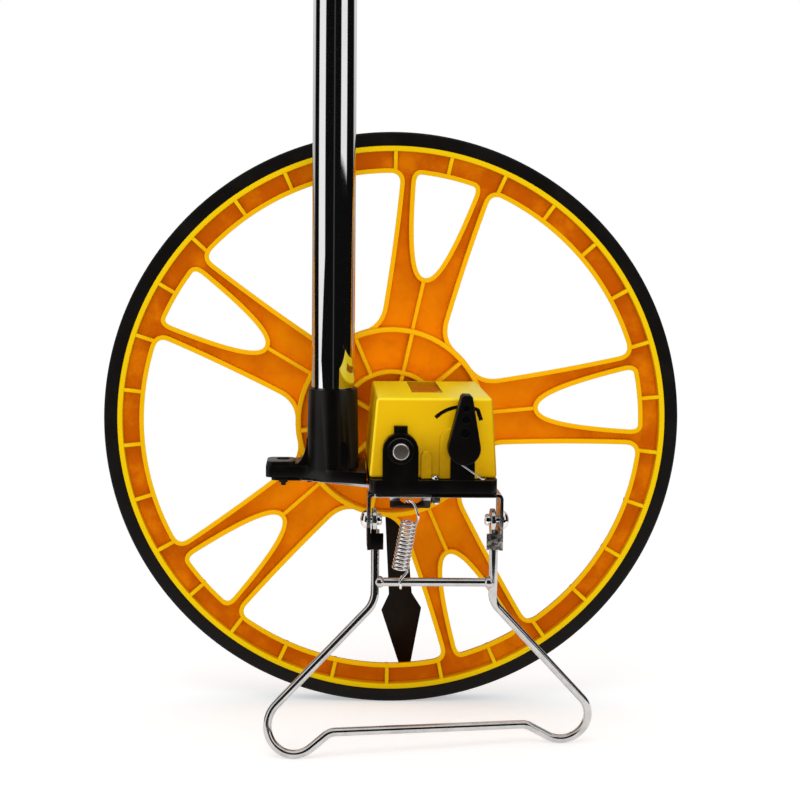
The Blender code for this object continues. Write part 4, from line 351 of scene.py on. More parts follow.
class Graph:
    """The nodes of one material or world."""

    def __init__(self, owner):
        owner.use_nodes = True
        self.tree = owner.node_tree
        self.tree.nodes.clear()

    def add(self, kind, settings, *values, **named):
        """Adds a node: its settings first, then its sockets in order and by name."""
        node = self.tree.nodes.new(kind)
        for name, value in settings.items():
            if name == "stops":
                self.set_stops(node.color_ramp, value)
            else:
                setattr(node, name, value)
        sockets = [socket for socket in node.inputs if socket.enabled]
        pairs = list(zip(sockets, values))
        for name, value in named.items():
            wanted = name.replace("_", " ")
            pairs.append((next(s for s in sockets if s.name == wanted), value))
        for socket, value in pairs:
            if value is None:
                continue
            if isinstance(value, Made):
                value = value.value()
            if isinstance(value, Value):
                self.tree.links.new(value.socket, socket)
            elif socket.type == "RGBA" and len(value) == 3:
                socket.default_value = (*value, 1.0)
            else:
                socket.default_value = value
        return Made(self, node)

    def set_stops(self, ramp, stops):
        while len(ramp.elements) < len(stops):
            ramp.elements.new(1.0)
        for element, (place, colour) in zip(ramp.elements, stops):
            element.position = place
            element.color = (*colour, 1.0)

    def place(self):
        """Object coordinates in the row's frame."""
        return self.add("ShaderNodeTexCoord", {}).value("Object")

    def axle_place(self, centre=(0, 0, 0)):
        """Object coordinates in the axle's frame, from a centre given there."""
        settings = {"vector_type": "TEXTURE"}
        location = STANCE @ Vector(centre)
        return self.add("ShaderNodeMapping", settings, self.place(), location, (LEAN, 0, 0)).value()

    def facing(self, line):
        """How far the surface faces along a line of the axle's frame, -1 to 1."""
        normal = self.add("ShaderNodeTexCoord", {}).value("Normal")
        line = tuple(STANCE.to_3x3() @ Vector(line))
        made = self.add("ShaderNodeVectorMath", {"operation": "DOT_PRODUCT"}, normal, line)
        return made.value("Value")

    def facing_axle(self):
        """1 where the surface faces along the axle, 0 where it faces across it."""
        return self.facing(AXLE_LINE).math("ABSOLUTE")

    def axes(self, vector):
        made = self.add("ShaderNodeSeparateXYZ", {}, vector)
        return made.value("X"), made.value("Y"), made.value("Z")

    def round_axle(self, place):
        """Distance from the axle's line, and the place along it."""
        x, y, z = self.axes(place)
        return (x * x + z * z).root(), y

    def noise(self, vector, scale, detail=3.0, roughness=0.5):
        made = self.add("ShaderNodeTexNoise", {}, Vector=vector, Scale=scale, Detail=detail,
                        Roughness=roughness)
        return made.value("Factor") if "Factor" in made.node.outputs else made.value("Fac")

    def turned_noise(self, radius, along, scale, detail):
        """Noise that makes rings round the axle's line."""
        place = self.add("ShaderNodeCombineXYZ", {}, radius * scale, along * scale, 0.0)
        return self.noise(place.value(), 1.0, detail)

    def mix(self, share, first, second):
        settings = {"data_type": "RGBA", "clamp_factor": True}
        return self.add("ShaderNodeMix", settings, share, first, second).value()

    def ramp(self, share, stops):
        return self.add("ShaderNodeValToRGB", {"stops": stops}, share).value("Color")

    def bump(self, height, strength, distance):
        return self.add("ShaderNodeBump", {}, Strength=strength, Distance=distance,
                        Height=height).value()

    def surface(self, **sockets):
        """A Principled shader on the surface output."""
        self.finish(self.add("ShaderNodeBsdfPrincipled", {}, **sockets).value())

    def finish(self, value):
        self.add("ShaderNodeOutputMaterial", {}, value)


MATERIALS = {}


def material(name, paint):
    """One material, painted the first time it is asked for."""
    if name not in MATERIALS:
        made = bpy.data.materials.new(name)
        paint(Graph(made), bpy.context.scene.wheel_colours)
        MATERIALS[name] = made
    return MATERIALS[name]


# Paints: places are metres in the axle's frame, spans are where a tone starts and ends

MOULDING_BLUE = 0.0003
MOULDING_FLOOR = [(place, (red, green, MOULDING_BLUE)) for place, red, green in (
    (0.10, 0.72, 0.160), (0.22, 0.90, 0.270), (0.31, 0.84, 0.240), (0.45, 0.70, 0.185),
    (0.62, 0.62, 0.148), (0.82, 0.58, 0.125), (0.875, 0.50, 0.096), (0.93, 0.52, 0.110))]
MOULDING_CREST = [
    (0.20, (0.90, 0.46, 0.004)), (0.60, (0.86, 0.42, 0.002)), (0.88, (0.78, 0.42, 0.0015)),
    (0.925, (0.78, 0.51, 0.0025))]
MOULDING_SIDE = [
    (0.20, (0.88, 0.300, 0.001)), (0.60, (0.84, 0.280, 0.001)), (0.90, (0.76, 0.300, 0.001))]
MOULDING_REACH = 0.16
# Painted shade on the housing: darker towards its bottom, and darker between its boss and pad
HOUSING_SHADE_START = 0.018
HOUSING_SHADE_SPAN = (0.0, 0.034)
HOLLOW_SHADE_LEFT_SPAN = (0.006, 0.012)
HOLLOW_SHADE_RIGHT_SPAN = (0.022, 0.030)
HOLLOW_SHADE_DROP_SPAN = (-0.012, 0.008)
# Painted shade on the stand bracket: the web's front strip, the left wing, the hook tab and the left stop
SHADED_STRIP_DROP_SPAN = (0.0224, 0.0228)
SHADED_STRIP_SIDE_SPAN = (0.0146, 0.0152)
SHADED_WING_SPAN = (0.0470, 0.0500)
SHADED_TAB_TOP_SPAN = (0.0238, 0.0244)
SHADED_TAB_BOTTOM_SPAN = (0.0330, 0.0340)
SHADED_TAB_LEFT = 0.010
SHADED_TAB_LEFT_SPAN = (0.0, 0.001)
SHADED_TAB_RIGHT_SPAN = (0.0180, 0.0190)
STOP_DROP_SPAN = (0.0370, 0.0380)
LEFT_STOP_SHADE_SPAN = (0.010, 0.012)


def tinted(colour, factor):
    return tuple(factor * part for part in colour)


def paint_rubber(graph, colours):
    place = graph.axle_place()
    radius, along = graph.round_axle(place)
    grain = graph.noise(place, 1400.0, 4.0, 0.6)
    cloud = graph.noise(place, 45.0, 3.0, 0.6)
    lathe = graph.turned_noise(radius, along, 1800.0, 2.0)
    colour = graph.mix(cloud.eased(0.35, 0.75), tuple(colours.rubber), tinted(colours.rubber, 1.9))
    rough = 0.46 + 0.22 * cloud + 0.06 * grain
    normal = graph.bump(grain * 0.7 + lathe * 0.5, 0.25, 0.0002)
    graph.surface(Base_Color=colour, Roughness=rough, Normal=normal, Specular_IOR_Level=0.16)


def paint_moulding(graph, colours):
    """Translucent yellow moulding: deep orange on its floors, bright along its thin walls."""
    place = graph.axle_place()
    radius, along = graph.round_axle(place)
    flow = graph.noise(place, 60.0, 4.0, 0.62)
    streak = graph.noise(place, 260.0, 3.0, 0.55)
    rim_share = radius / MOULDING_REACH
    floor = graph.ramp(rim_share, MOULDING_FLOOR)
    floor = graph.mix(flow.eased(0.42, 0.72) * 0.55, floor, (0.80, 0.255, 0.0004))
    floor = graph.mix(flow.eased(0.30, 0.50) * -0.30 + 0.30, floor, (0.50, 0.095, MOULDING_BLUE))
    floor = graph.mix(streak.eased(0.60, 0.80) * 0.22, floor, (0.52, 0.095, MOULDING_BLUE))
    crest = graph.ramp(rim_share, MOULDING_CREST)
    side = graph.ramp(rim_share, MOULDING_SIDE)
    floor_front = CHANNEL_DEPTH - RIM_PROUD
    height = floor_front - along
    lift = height.eased(CHANNEL_DEPTH * 0.55, CHANNEL_DEPTH * 0.95)
    wall = height.eased(0.0001, 0.0012) * (1.0 - graph.facing_axle().eased(0.35, 0.75))
    colour = graph.mix(wall.clamped(), floor, side)
    colour = graph.mix(lift, colour, crest)
    back = (along - floor_front - FLOOR_THICKNESS * 0.5).eased(0.0, 0.002)
    colour = graph.mix(back * 0.55, colour, (0.84, 0.33, 0.002))
    grain = graph.noise(place, 1900.0, 3.0, 0.5)
    rough = 0.40 + 0.10 * flow + 0.04 * grain
    normal = graph.bump(flow * 0.6 + grain * 0.25, 0.12, 0.0004)
    graph.surface(Base_Color=colour, Roughness=rough, Normal=normal, Specular_IOR_Level=0.02)


def paint_housing(graph, colours):
    """Yellow moulding, lighter along its rounded edges and deeper between its boss and pad."""
    place = graph.axle_place()
    x, _, z = graph.axes(place)
    drop = z * -1.0
    cloud = graph.noise(place, 70.0, 3.0, 0.6)
    grain = graph.noise(place, 2200.0, 3.0, 0.5)
    # Painted shade: darker towards the bottom
    low = (drop + HOUSING_SHADE_START).eased(*HOUSING_SHADE_SPAN)
    colour = graph.mix(low, tuple(colours.housing), (0.54, 0.290, 0.0006))
    # Painted shade between the boss and the pad
    hollow_shade = x.eased(*HOLLOW_SHADE_LEFT_SPAN) * (1.0 - x.eased(*HOLLOW_SHADE_RIGHT_SPAN))
    hollow_shade = hollow_shade * drop.eased(*HOLLOW_SHADE_DROP_SPAN)
    colour = graph.mix(hollow_shade * 0.75, colour, (0.27, 0.135, 0.0003))
    colour = graph.mix(cloud.eased(0.35, 0.70) * 0.25, colour, (0.74, 0.46, 0.001))
    facing = graph.facing_axle()
    side = graph.facing(ACROSS)
    up = graph.facing(UPRIGHT)
    # Painted light: faces that look up are lighter
    colour = graph.mix(up.eased(0.70, 0.95), colour, (0.99, 0.78, 0.012))
    # Painted highlight on rounded edges that face up and left, painted shade on those that face right and down
    edge = facing.eased(0.12, 0.45) * (1.0 - facing.eased(0.90, 0.995))
    light = edge * (up - side * 0.8 + 0.25).clamped() * 0.85
    colour = graph.mix(light.clamped(), colour, (0.95, 0.72, 0.030))
    shade = edge * (side - up * 0.5).clamped() * 0.8
    colour = graph.mix(shade.clamped(), colour, (0.36, 0.19, 0.0006))
    rough = 0.26 + 0.08 * cloud + 0.03 * grain
    normal = graph.bump(grain * 0.3 + cloud * 0.3, 0.08, 0.0003)
    graph.surface(Base_Color=colour, Roughness=rough, Normal=normal, Specular_IOR_Level=0.07)


def edge_light(graph):
    """Share of light that a black moulding's rounded upper edges catch."""
    facing = graph.facing_axle()
    edge = facing.eased(0.10, 0.40) * (1.0 - facing.eased(0.90, 0.99))
    return (edge * graph.facing(UPRIGHT).eased(0.08, 0.50)).clamped()


def paint_black_plastic(graph, colours):
    place = graph.axle_place()
    grain = graph.noise(place, 2600.0, 4.0, 0.6)
    cloud = graph.noise(place, 110.0, 3.0, 0.6)
    black = colours.black_plastic
    colour = graph.mix(cloud.eased(0.45, 0.80), tuple(black), tinted(black, 2.0))
    colour = graph.mix(edge_light(graph), colour, (0.085, 0.075, 0.062))
    rough = 0.27 + 0.08 * cloud + 0.04 * grain
    normal = graph.bump(grain, 0.04, 0.0002)
    graph.surface(Base_Color=colour, Roughness=rough, Normal=normal, Specular_IOR_Level=0.20)


def paint_lever(graph, colours):
    """Black plastic whose three dimples stay dull and dark."""
    place = graph.axle_place()
    x, _, z = graph.axes(place)
    grain = graph.noise(place, 2600.0, 4.0, 0.6)
    cloud = graph.noise(place, 110.0, 3.0, 0.6)
    # Mask of the three dimples: painted shade in their colour, and more roughness
    inside = None
    turn = math.pi / 2 + LEVER_TILT
    for reach, radius in zip(DIMPLE_REACH, DIMPLE_RADIUS):
        across = x - (LEVER_X + reach * math.cos(turn))
        along = z - (LEVER_Z + reach * math.sin(turn))
        dip = (radius - (across * across + along * along).root()).eased(0.0, 0.0002)
        inside = dip if inside is None else inside.math("MAXIMUM", dip)
    black = colours.black_plastic
    colour = graph.mix(cloud.eased(0.35, 0.80), tinted(black, 1.2), tinted(black, 1.8))
    # Painted shade: the dimples' colour is darkened
    colour = graph.mix(inside, colour, (0.0006, 0.0005, 0.0005))
    colour = graph.mix(edge_light(graph) * 0.7, colour, (0.036, 0.031, 0.025))
    rough = 0.36 + 0.10 * cloud + 0.06 * grain + inside * 0.4
    normal = graph.bump(grain, 0.06, 0.0002)
    graph.surface(Base_Color=colour, Roughness=rough, Normal=normal, Specular_IOR_Level=0.12)


def two_tone(scale, span, amount, first, second, rough, grain, bump, **sockets):
    """A paint of two clouded tones; rough is a start and what the cloud adds to it."""
    def paint(graph, colours):
        place = graph.axle_place()
        cloud = graph.noise(place, scale, 3.0, 0.6)
        colour = graph.mix(cloud.eased(*span) * amount, first, second)
        normal = graph.bump(graph.noise(place, *grain), bump, 0.0002)
        graph.surface(Base_Color=colour, Roughness=rough[0] + rough[1] * cloud, Normal=normal,
                      **sockets)
    return paint


paint_black_steel = two_tone(
    90.0, (0.35, 0.75), 1.0, (0.0050, 0.0030, 0.0014), (0.0085, 0.0052, 0.0026),
    (0.44, 0.12), (1800.0, 3.0, 0.6), 0.10, Specular_IOR_Level=0.12)
paint_nut_steel = two_tone(
    480.0, (0.35, 0.65), 1.0, (0.20, 0.185, 0.165), (0.06, 0.053, 0.046),
    (0.34, 0.16), (2200.0, 3.0, 0.6), 0.14, Metallic=1.0)
paint_white_plastic = two_tone(
    160.0, (0.3, 0.7), 0.5, (0.76, 0.75, 0.70), (0.66, 0.64, 0.58),
    (0.38, 0.14), (2400.0, 3.0, 0.5), 0.10)


def paint_window(graph, colours):
    cloud = graph.noise(graph.axle_place(), 240.0, 3.0, 0.6)
    colour = graph.mix(cloud * 0.4, (0.62, 0.20, 0.012), (0.50, 0.15, 0.010))
    graph.surface(Base_Color=colour, Roughness=0.06 + 0.06 * cloud, Alpha=0.62 + 0.06 * cloud)


def paint_steel(graph, colours):
    """Turned steel: fine rings round the axle's line, a duller cut face inside a bright rim."""
    place = graph.axle_place()
    radius, along = graph.round_axle(place)
    rings = graph.turned_noise(radius, along, 5200.0, 3.0)
    cloud = graph.noise(place, 620.0, 3.0, 0.6)
    rim = radius.eased(AXLE_RADIUS * 0.84, AXLE_RADIUS * 0.92)
    face = graph.mix(rings * 0.5 + cloud * 0.5, (0.40, 0.36, 0.31), (0.17, 0.15, 0.13))
    colour = graph.mix(rim, face, (0.80, 0.78, 0.74))
    normal = graph.bump(rings, 0.30, 0.0002)
    rough = 0.48 + 0.12 * rings - 0.16 * rim
    graph.surface(Base_Color=colour, Roughness=rough, Metallic=1.0, Normal=normal)


def paint_zinc(graph, colours):
    """Plated sheet, mottled and dull on its stops, dark where its edges meet the mouldings."""
    place = graph.axle_place()
    x, _, z = graph.axes(place)
    cloud = graph.noise(place, 130.0, 4.0, 0.65)
    fine = graph.noise(place, 1500.0, 3.0, 0.6)
    spots = graph.noise(place, 620.0, 3.0, 0.6).eased(0.42, 0.56)
    colour = graph.mix(cloud.eased(0.35, 0.7), (0.52, 0.51, 0.50), (0.34, 0.33, 0.32))
    drop = z * -1.0
    # Painted shade: the web's front strip under the base plate and the left wing under the socket are darkened
    shaded_strip = graph.facing_axle().eased(0.5, 0.9) * (1.0 - drop.eased(*SHADED_STRIP_DROP_SPAN))
    shaded_strip = shaded_strip * x.eased(*SHADED_STRIP_SIDE_SPAN)
    shaded_wing = (x * -1.0).eased(*SHADED_WING_SPAN)
    # Painted shade: the hook tab is darkened to a brownish grey
    shaded_tab = drop.eased(*SHADED_TAB_TOP_SPAN) * (1.0 - drop.eased(*SHADED_TAB_BOTTOM_SPAN))
    shaded_tab = shaded_tab * (x + SHADED_TAB_LEFT).eased(*SHADED_TAB_LEFT_SPAN) * (1.0 - x.eased(*SHADED_TAB_RIGHT_SPAN))
    stops = drop.eased(*STOP_DROP_SPAN)
    grey = graph.mix(spots, (0.56, 0.54, 0.51), (0.10, 0.09, 0.08))
    # Painted shade: the left stop is darkened
    grey = graph.mix(1.0 - x.eased(*LEFT_STOP_SHADE_SPAN), grey, (0.012, 0.010, 0.009))
    colour = graph.mix(stops, colour, grey)
    colour = graph.mix(shaded_tab, colour, (0.050, 0.036, 0.030))
    colour = graph.mix((shaded_strip + shaded_wing).clamped(), colour, (0.020, 0.016, 0.012))
    dull = (shaded_tab + stops + shaded_strip + shaded_wing).clamped()
    rough = 0.13 + 0.14 * cloud.eased(0.4, 0.8) + 0.04 * fine + dull * 0.25
    normal = graph.bump(cloud * 0.7 + fine * 0.3, 0.16, 0.0003)
    graph.surface(Base_Color=colour, Roughness=rough, Metallic=1.0, Normal=normal)


def paint_chrome(graph, colours):
    place = graph.axle_place()
    cloud = graph.noise(place, 90.0, 3.0, 0.6)
    fine = graph.noise(place, 900.0, 3.0, 0.6)
    colour = graph.mix(cloud * 0.5, tuple(colours.chrome), (0.70, 0.69, 0.69))
    rough = 0.035 + 0.04 * cloud.eased(0.5, 0.9) + 0.015 * fine
    normal = graph.bump(fine, 0.02, 0.0001)
    graph.surface(Base_Color=colour, Roughness=rough, Metallic=1.0, Normal=normal)


def paint_wire(graph, colours):
    """Plated wire, a little duller than the tube, with faint marks."""
    place = graph.axle_place()
    cloud = graph.noise(place, 150.0, 3.0, 0.6)
    fine = graph.noise(place, 1300.0, 3.0, 0.6)
    colour = graph.mix(cloud.eased(0.35, 0.75), (0.62, 0.61, 0.60), (0.50, 0.49, 0.48))
    rough = 0.09 + 0.06 * cloud + 0.03 * fine
    normal = graph.bump(fine * 0.6 + cloud * 0.4, 0.06, 0.0002)
    graph.surface(Base_Color=colour, Roughness=rough, Metallic=1.0, Normal=normal)


PAINTS = {
    "rubber": paint_rubber,
    "wheel_yellow": paint_moulding,
    "housing_yellow": paint_housing,
    "black_plastic": paint_black_plastic,
    "white_plastic": paint_white_plastic,
    "drum_white": paint_white_plastic,
    "clear_plastic": paint_window,
    "steel": paint_steel,
    "zinc": paint_zinc,
    "chrome": paint_chrome,
    "grip_rubber": paint_rubber,
    "lever": paint_lever,
    "black_steel": paint_black_steel,
    "nut_steel": paint_nut_steel,
    "stand_wire": paint_wire,
}


# Modelling by operator

def object_mode():
    if bpy.context.mode != "OBJECT":
        bpy.ops.object.mode_set(mode="OBJECT")


def deselect():
    object_mode()
    bpy.ops.object.select_all(action="DESELECT")


def take(item):
    """Make one object the only selected and active one."""
    deselect()
    item.select_set(True)
    bpy.context.view_layer.objects.active = item
    return item


def edit_all(item):
    take(item)
    bpy.ops.object.mode_set(mode="EDIT")
    bpy.ops.mesh.select_mode(type="VERT")
    bpy.ops.mesh.select_all(action="SELECT")


def tidy_faces(item):
    edit_all(item)
    bpy.ops.mesh.remove_doubles(threshold=MADE_WELD)
    bpy.ops.mesh.normals_make_consistent(inside=False)
    object_mode()
    return item


def apply_all(item):
    take(item)
    for modifier in list(item.modifiers):
        bpy.ops.object.modifier_apply(modifier=modifier.name)
    return item


def loop(name, points):
    """A circle of edges whose points are moved to a closed outline."""
    deselect()
    bpy.ops.mesh.primitive_circle_add(vertices=len(points), radius=1, fill_type="NOTHING")
    item = bpy.context.active_object
    item.name = name
    for vert, place in zip(item.data.vertices, points):
        vert.co = place
    return item


def open_line(name, points):
    """The same, with its closing edge taken out."""
    item = loop(name, points)
    last = len(points) - 1
    edit_all(item)
    bpy.ops.mesh.select_mode(type="EDGE")
    bpy.ops.mesh.select_all(action="DESELECT")
    shape = bmesh.from_edit_mesh(item.data)
    for edge in shape.edges:
        if {edge.verts[0].index, edge.verts[1].index} == {0, last}:
            edge.select_set(True)
    bmesh.update_edit_mesh(item.data)
    bpy.ops.mesh.delete(type="EDGE")
    object_mode()
    return item


def spun(name, profile, steps, centre, axis, closed=True):
    """Turn a profile of (radius, along) points round an axis through a centre."""
    axis = Vector(axis)
    side = Vector((0, 0, 1)) if abs(axis.z) < 0.5 else Vector((1, 0, 0))
    centre = Vector(centre)
    points = [centre + side * radius + axis * along for radius, along in profile]
    item = loop(name, points) if closed else open_line(name, points)
    edit_all(item)
    bpy.ops.mesh.spin(steps=steps, angle=2 * math.pi, center=centre, axis=axis)
    object_mode()
    return tidy_faces(item)


def joined(name, items):
    deselect()
    for item in items:
        item.select_set(True)
    bpy.context.view_layer.objects.active = items[0]
    if len(items) > 1:
        bpy.ops.object.join()
    items[0].name = name
    return items[0]


def pushed(item, vector):
    """Extrude all faces of a flat item."""
    edit_all(item)
    bpy.ops.mesh.extrude_region_move(TRANSFORM_OT_translate={"value": vector})
    object_mode()
    return tidy_faces(item)


def filled(name, loops):
    """Fill flat closed outlines, the inner ones as holes."""
    item = joined(name, [loop(name, points) for points in loops])
    edit_all(item)
    bpy.ops.mesh.fill(use_beauty=True)
    object_mode()
    return item


def bridged(name, first, second):
    """A flat band between two outlines with the same number of points."""
    item = joined(name, [loop(name, first), loop(name, second)])
    edit_all(item)
    bpy.ops.mesh.bridge_edge_loops()
    object_mode()
    return item


def rounded_edges(item, width, segments=3, angle=math.radians(35)):
    bevel = item.modifiers.new("edges", "BEVEL")
    bevel.width = width
    bevel.segments = segments
    bevel.limit_method = "ANGLE"
    bevel.angle_limit = angle
    bevel.harden_normals = False
    return apply_all(item)


def turned_copies(item, count):
    """The item and its copies, spread evenly round the axle's line."""
    copies = [item]
    for k in range(1, count):
        copy = item.copy()
        copy.data = item.data.copy()
        bpy.context.scene.collection.objects.link(copy)
        copy.data.transform(Matrix.Rotation(-2 * math.pi * k / count, 4, Vector(AXLE_LINE)))
        copies.append(copy)
    return copies


def wire(name, points, radius, sides=4):
    """A round wire along a row of places."""
    curve = bpy.data.curves.new(name, "CURVE")
    curve.dimensions = "3D"
    curve.bevel_depth = radius
    curve.bevel_resolution = sides
    curve.use_fill_caps = True
    spline = curve.splines.new("POLY")
    spline.points.add(len(points) - 1)
    for point, place in zip(spline.points, points):
        point.co = (*place, 1)
    item = bpy.data.objects.new(name, curve)
    bpy.context.scene.collection.objects.link(item)
    take(item)
    bpy.ops.object.convert(target="MESH")
    return tidy_faces(bpy.context.active_object)


def copied(node, name):
    """A merged copy of a packed node's mesh, back in the axle's frame."""
    source = frame["nodes"][node]
    item = bpy.data.objects.new(name, source.data.copy())
    bpy.context.scene.collection.objects.link(item)
    item.data.transform(STANCE.inverted())
    edit_all(item)
    bpy.ops.mesh.remove_doubles(threshold=PACKED_WELD)
    bpy.ops.mesh.dissolve_limited(angle_limit=math.radians(0.5))
    object_mode()
    return item


def settle(item, name, body, slot, nodes=(), angle=35, finish=None):
    """Name, lean and smooth the piece, and let it ride on its body, if it has one."""
    object_mode()
    item.name = name
    item.data.name = name
    item.data.transform(STANCE)
    item.matrix_world = Matrix.Identity(4)
    item.data.materials.clear()
    finish = finish or slot
    item.data.materials.append(material(finish, PAINTS[finish]))
    take(item)
    bpy.ops.object.shade_smooth_by_angle(angle=math.radians(angle))
    if body:
        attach(item, body)
    if nodes:
        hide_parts(*nodes)
    return item


def dress(node, slot):
    """Give a packed node its better material."""
    item = frame["nodes"][node]
    item.data.materials.clear()
    item.data.materials.append(material(slot, PAINTS[slot]))


def body_of(node):
    bodies = frame["record"]["behaviour"]["bodies"]
    return next(body for body, members in bodies.items() if node in members)


def refined(node, slot, edge, segments=2, finish=None):
    """A packed node's shape with its edges rounded."""
    item = rounded_edges(copied(node, node + "_shell"), edge, segments)
    return settle(item, node + "_shell", body_of(node), slot, (node,), 35, finish)


def combined(item, tool, operation="DIFFERENCE"):
    """Cut a closed tool from a piece, or weld it on."""
    change = item.modifiers.new("change", "BOOLEAN")
    change.operation = operation
    change.solver = "EXACT"
    change.object = tool
    apply_all(item)
    bpy.data.objects.remove(tool)
    return item


def slab(name, outline, low, high):
    """A flat outline in the wheel's plane, given its depth."""
    return pushed(filled(name, [at_depth(outline, low)]), (0, high - low, 0))


def block(name, low, high):
    deselect()
    bpy.ops.mesh.primitive_cube_add(size=1)
    item = bpy.context.active_object
    item.name = name
    low = Vector(low)
    high = Vector(high)
    item.data.transform(Matrix.Diagonal((*(high - low), 1)))
    item.data.transform(Matrix.Translation((low + high) / 2))
    return item


def strip_outline(points, half):
    """The outline of a strip that follows a row of places, with square ends."""
    left = []
    right = []
    last = len(points) - 1
    for i, place in enumerate(points):
        here = Vector(place)
        along = (Vector(points[min(i + 1, last)]) - Vector(points[max(i - 1, 0)])).normalized()
        side = Vector((-along.y, along.x)) * half
        left.append(tuple(here + side))
        right.append(tuple(here - side))
    return left + right[::-1]


# Outlines in the wheel's plane, as (x, z)

def circle_outline(radius, count, centre=(0, 0)):
    return [(centre[0] + radius * math.cos(2 * math.pi * i / count),
             centre[1] + radius * math.sin(2 * math.pi * i / count)) for i in range(count)]


def at_depth(points, depth):
    return [(x, depth, z) for x, z in points]


def turned_by(points, angle):
    cosine = math.cos(angle)
    sine = math.sin(angle)
    return [(cosine * x - sine * z, sine * x + cosine * z) for x, z in points]


def offset_outline(points, distance):
    """Move a closed outline outwards by a distance, square to its sides."""
    count = len(points)
    area = sum(points[i][0] * points[(i + 1) % count][1] - points[(i + 1) % count][0] * points[i][1]
               for i in range(count))
    sign = 1 if area > 0 else -1
    result = []
    for i in range(count):
        here = Vector(points[i])
        before = (here - Vector(points[i - 1])).normalized()
        after = (Vector(points[(i + 1) % count]) - here).normalized()
        normal_a = Vector((before.y, -before.x)) * sign
        normal_b = Vector((after.y, -after.x)) * sign
        middle = (normal_a + normal_b).normalized()
        result.append(tuple(here + middle * (distance / max(middle.dot(normal_a), 0.5))))
    return result


def arc_points(centre, radius, start, end, steps):
    turns = [start + (end - start) * i / steps for i in range(steps + 1)]
    return [(centre[0] + radius * math.cos(turn), centre[1] + radius * math.sin(turn))
            for turn in turns]


def rounded(corners, steps=8, closed=True):
    """Corners given as (place, radius); each radius becomes an arc tangent to both sides."""
    count = len(corners)
    points = []
    for i, (place, radius) in enumerate(corners):
        here = Vector(place)
        ends = i == 0 or i == count - 1
        if radius == 0 or (ends and not closed):
            points.append(tuple(here))
            continue
        before = (Vector(corners[i - 1][0]) - here).normalized()
        after = (Vector(corners[(i + 1) % count][0]) - here).normalized()
        half = before.angle(after) / 2
        middle = here + (before + after).normalized() * (radius / math.sin(half))
        trim = radius / math.tan(half)
        start = here + before * trim - middle
        end = here + after * trim - middle
        sweep = start.angle(end)
        for k in range(steps + 1):
            share = k / steps
            weight_a = math.sin((1 - share) * sweep) / math.sin(sweep)
            weight_b = math.sin(share * sweep) / math.sin(sweep)
            points.append(tuple(middle + start * weight_a + end * weight_b))
    return points


def blended(sides, trims, steps):
    """Join curved sides, given as functions of 0 to 1, with a round at each meeting."""
    points = []
    count = len(sides)
    for i, (side, length, samples) in enumerate(sides):
        start = trims[i - 1] / length
        end = 1 - trims[i] / length
        for k in range(samples + 1):
            points.append(side(start + (end - start) * k / samples))
        if trims[i] == 0:
            points.pop()
            continue
        following, next_length, _ = sides[(i + 1) % count]
        first = Vector(side(end))
        corner = Vector(side(1))
        last = Vector(following(trims[i] / next_length))
        for k in range(1, steps):
            t = k / steps
            points.append(tuple(first * (1 - t) ** 2 + corner * 2 * t * (1 - t) + last * t ** 2))
    return points


# The wheel's own outlines

def seat_radius(sizes):
    return sizes.tyre_radius - TYRE_THICKNESS - SEAT_GAP


def window_rim_radius(sizes):
    return seat_radius(sizes) - RIM_WALL - RIM_CHANNEL - WINDOW_WALL


def spoke_half(sizes, along):
    rim = window_rim_radius(sizes)
    share = (along ** 2 - WINDOW_HUB_RADIUS ** 2) / (rim ** 2 - WINDOW_HUB_RADIUS ** 2)
    return SPOKE_HALF_AT_HUB + (SPOKE_HALF_AT_RIM - SPOKE_HALF_AT_HUB) * share


def spoke_along(sizes, radius):
    along = radius
    for _ in range(12):
        along = math.sqrt(radius ** 2 - spoke_half(sizes, along) ** 2)
    return along


def large_window(sizes):
    """The opening between two spokes."""
    rim = window_rim_radius(sizes)
    base = SPOKE_TURN
    step = 2 * math.pi / SPOKE_COUNT
    near = spoke_along(sizes, WINDOW_HUB_RADIUS)
    far = spoke_along(sizes, rim)
    hub_turn = math.atan2(spoke_half(sizes, near), near)
    rim_turn = math.atan2(spoke_half(sizes, far), far)

    def edge(share, side, turn):
        along = near + (far - near) * share
        return turned_by([(along, side * spoke_half(sizes, along))], turn)[0]

    def arc(share, radius, inset):
        turn = base + inset + (step - 2 * inset) * share
        return (radius * math.cos(turn), radius * math.sin(turn))

    sides = [
        (lambda t: edge(t, 1, base), far - near, 12),
        (lambda t: arc(t, rim, rim_turn), rim * (step - 2 * rim_turn), 28),
        (lambda t: edge(1 - t, -1, base + step), far - near, 12),
        (lambda t: arc(1 - t, WINDOW_HUB_RADIUS, hub_turn),
         WINDOW_HUB_RADIUS * (step - 2 * hub_turn), 6),
    ]
    return blended(sides, [WINDOW_RIM_TRIM, WINDOW_RIM_TRIM, WINDOW_HUB_TRIM, WINDOW_HUB_TRIM], 10)


def arm_window(sizes):
    """The leaf-shaped opening inside a spoke."""
    rim = window_rim_radius(sizes)
    base = SPOKE_TURN
    far = math.sqrt(rim ** 2 - ARM_HALF_AT_RIM ** 2)
    turn = math.atan2(ARM_HALF_AT_RIM, far)

    def edge(share, side):
        along = ARM_APEX + (far - ARM_APEX) * share ** 2
        return turned_by([(along, side * ARM_HALF_AT_RIM * share ** ARM_SPREAD_POWER)], base)[0]

    def arc(share):
        angle = base - turn + 2 * turn * share
        return (rim * math.cos(angle), rim * math.sin(angle))

    length = far - ARM_APEX
    sides = [
        (lambda t: edge(t, -1), length, 22),
        (arc, 2 * rim * turn, 10),
        (lambda t: edge(1 - t, 1), length, 22),
    ]
    return blended(sides, [ARM_RIM_TRIM, ARM_RIM_TRIM, 0], 6)


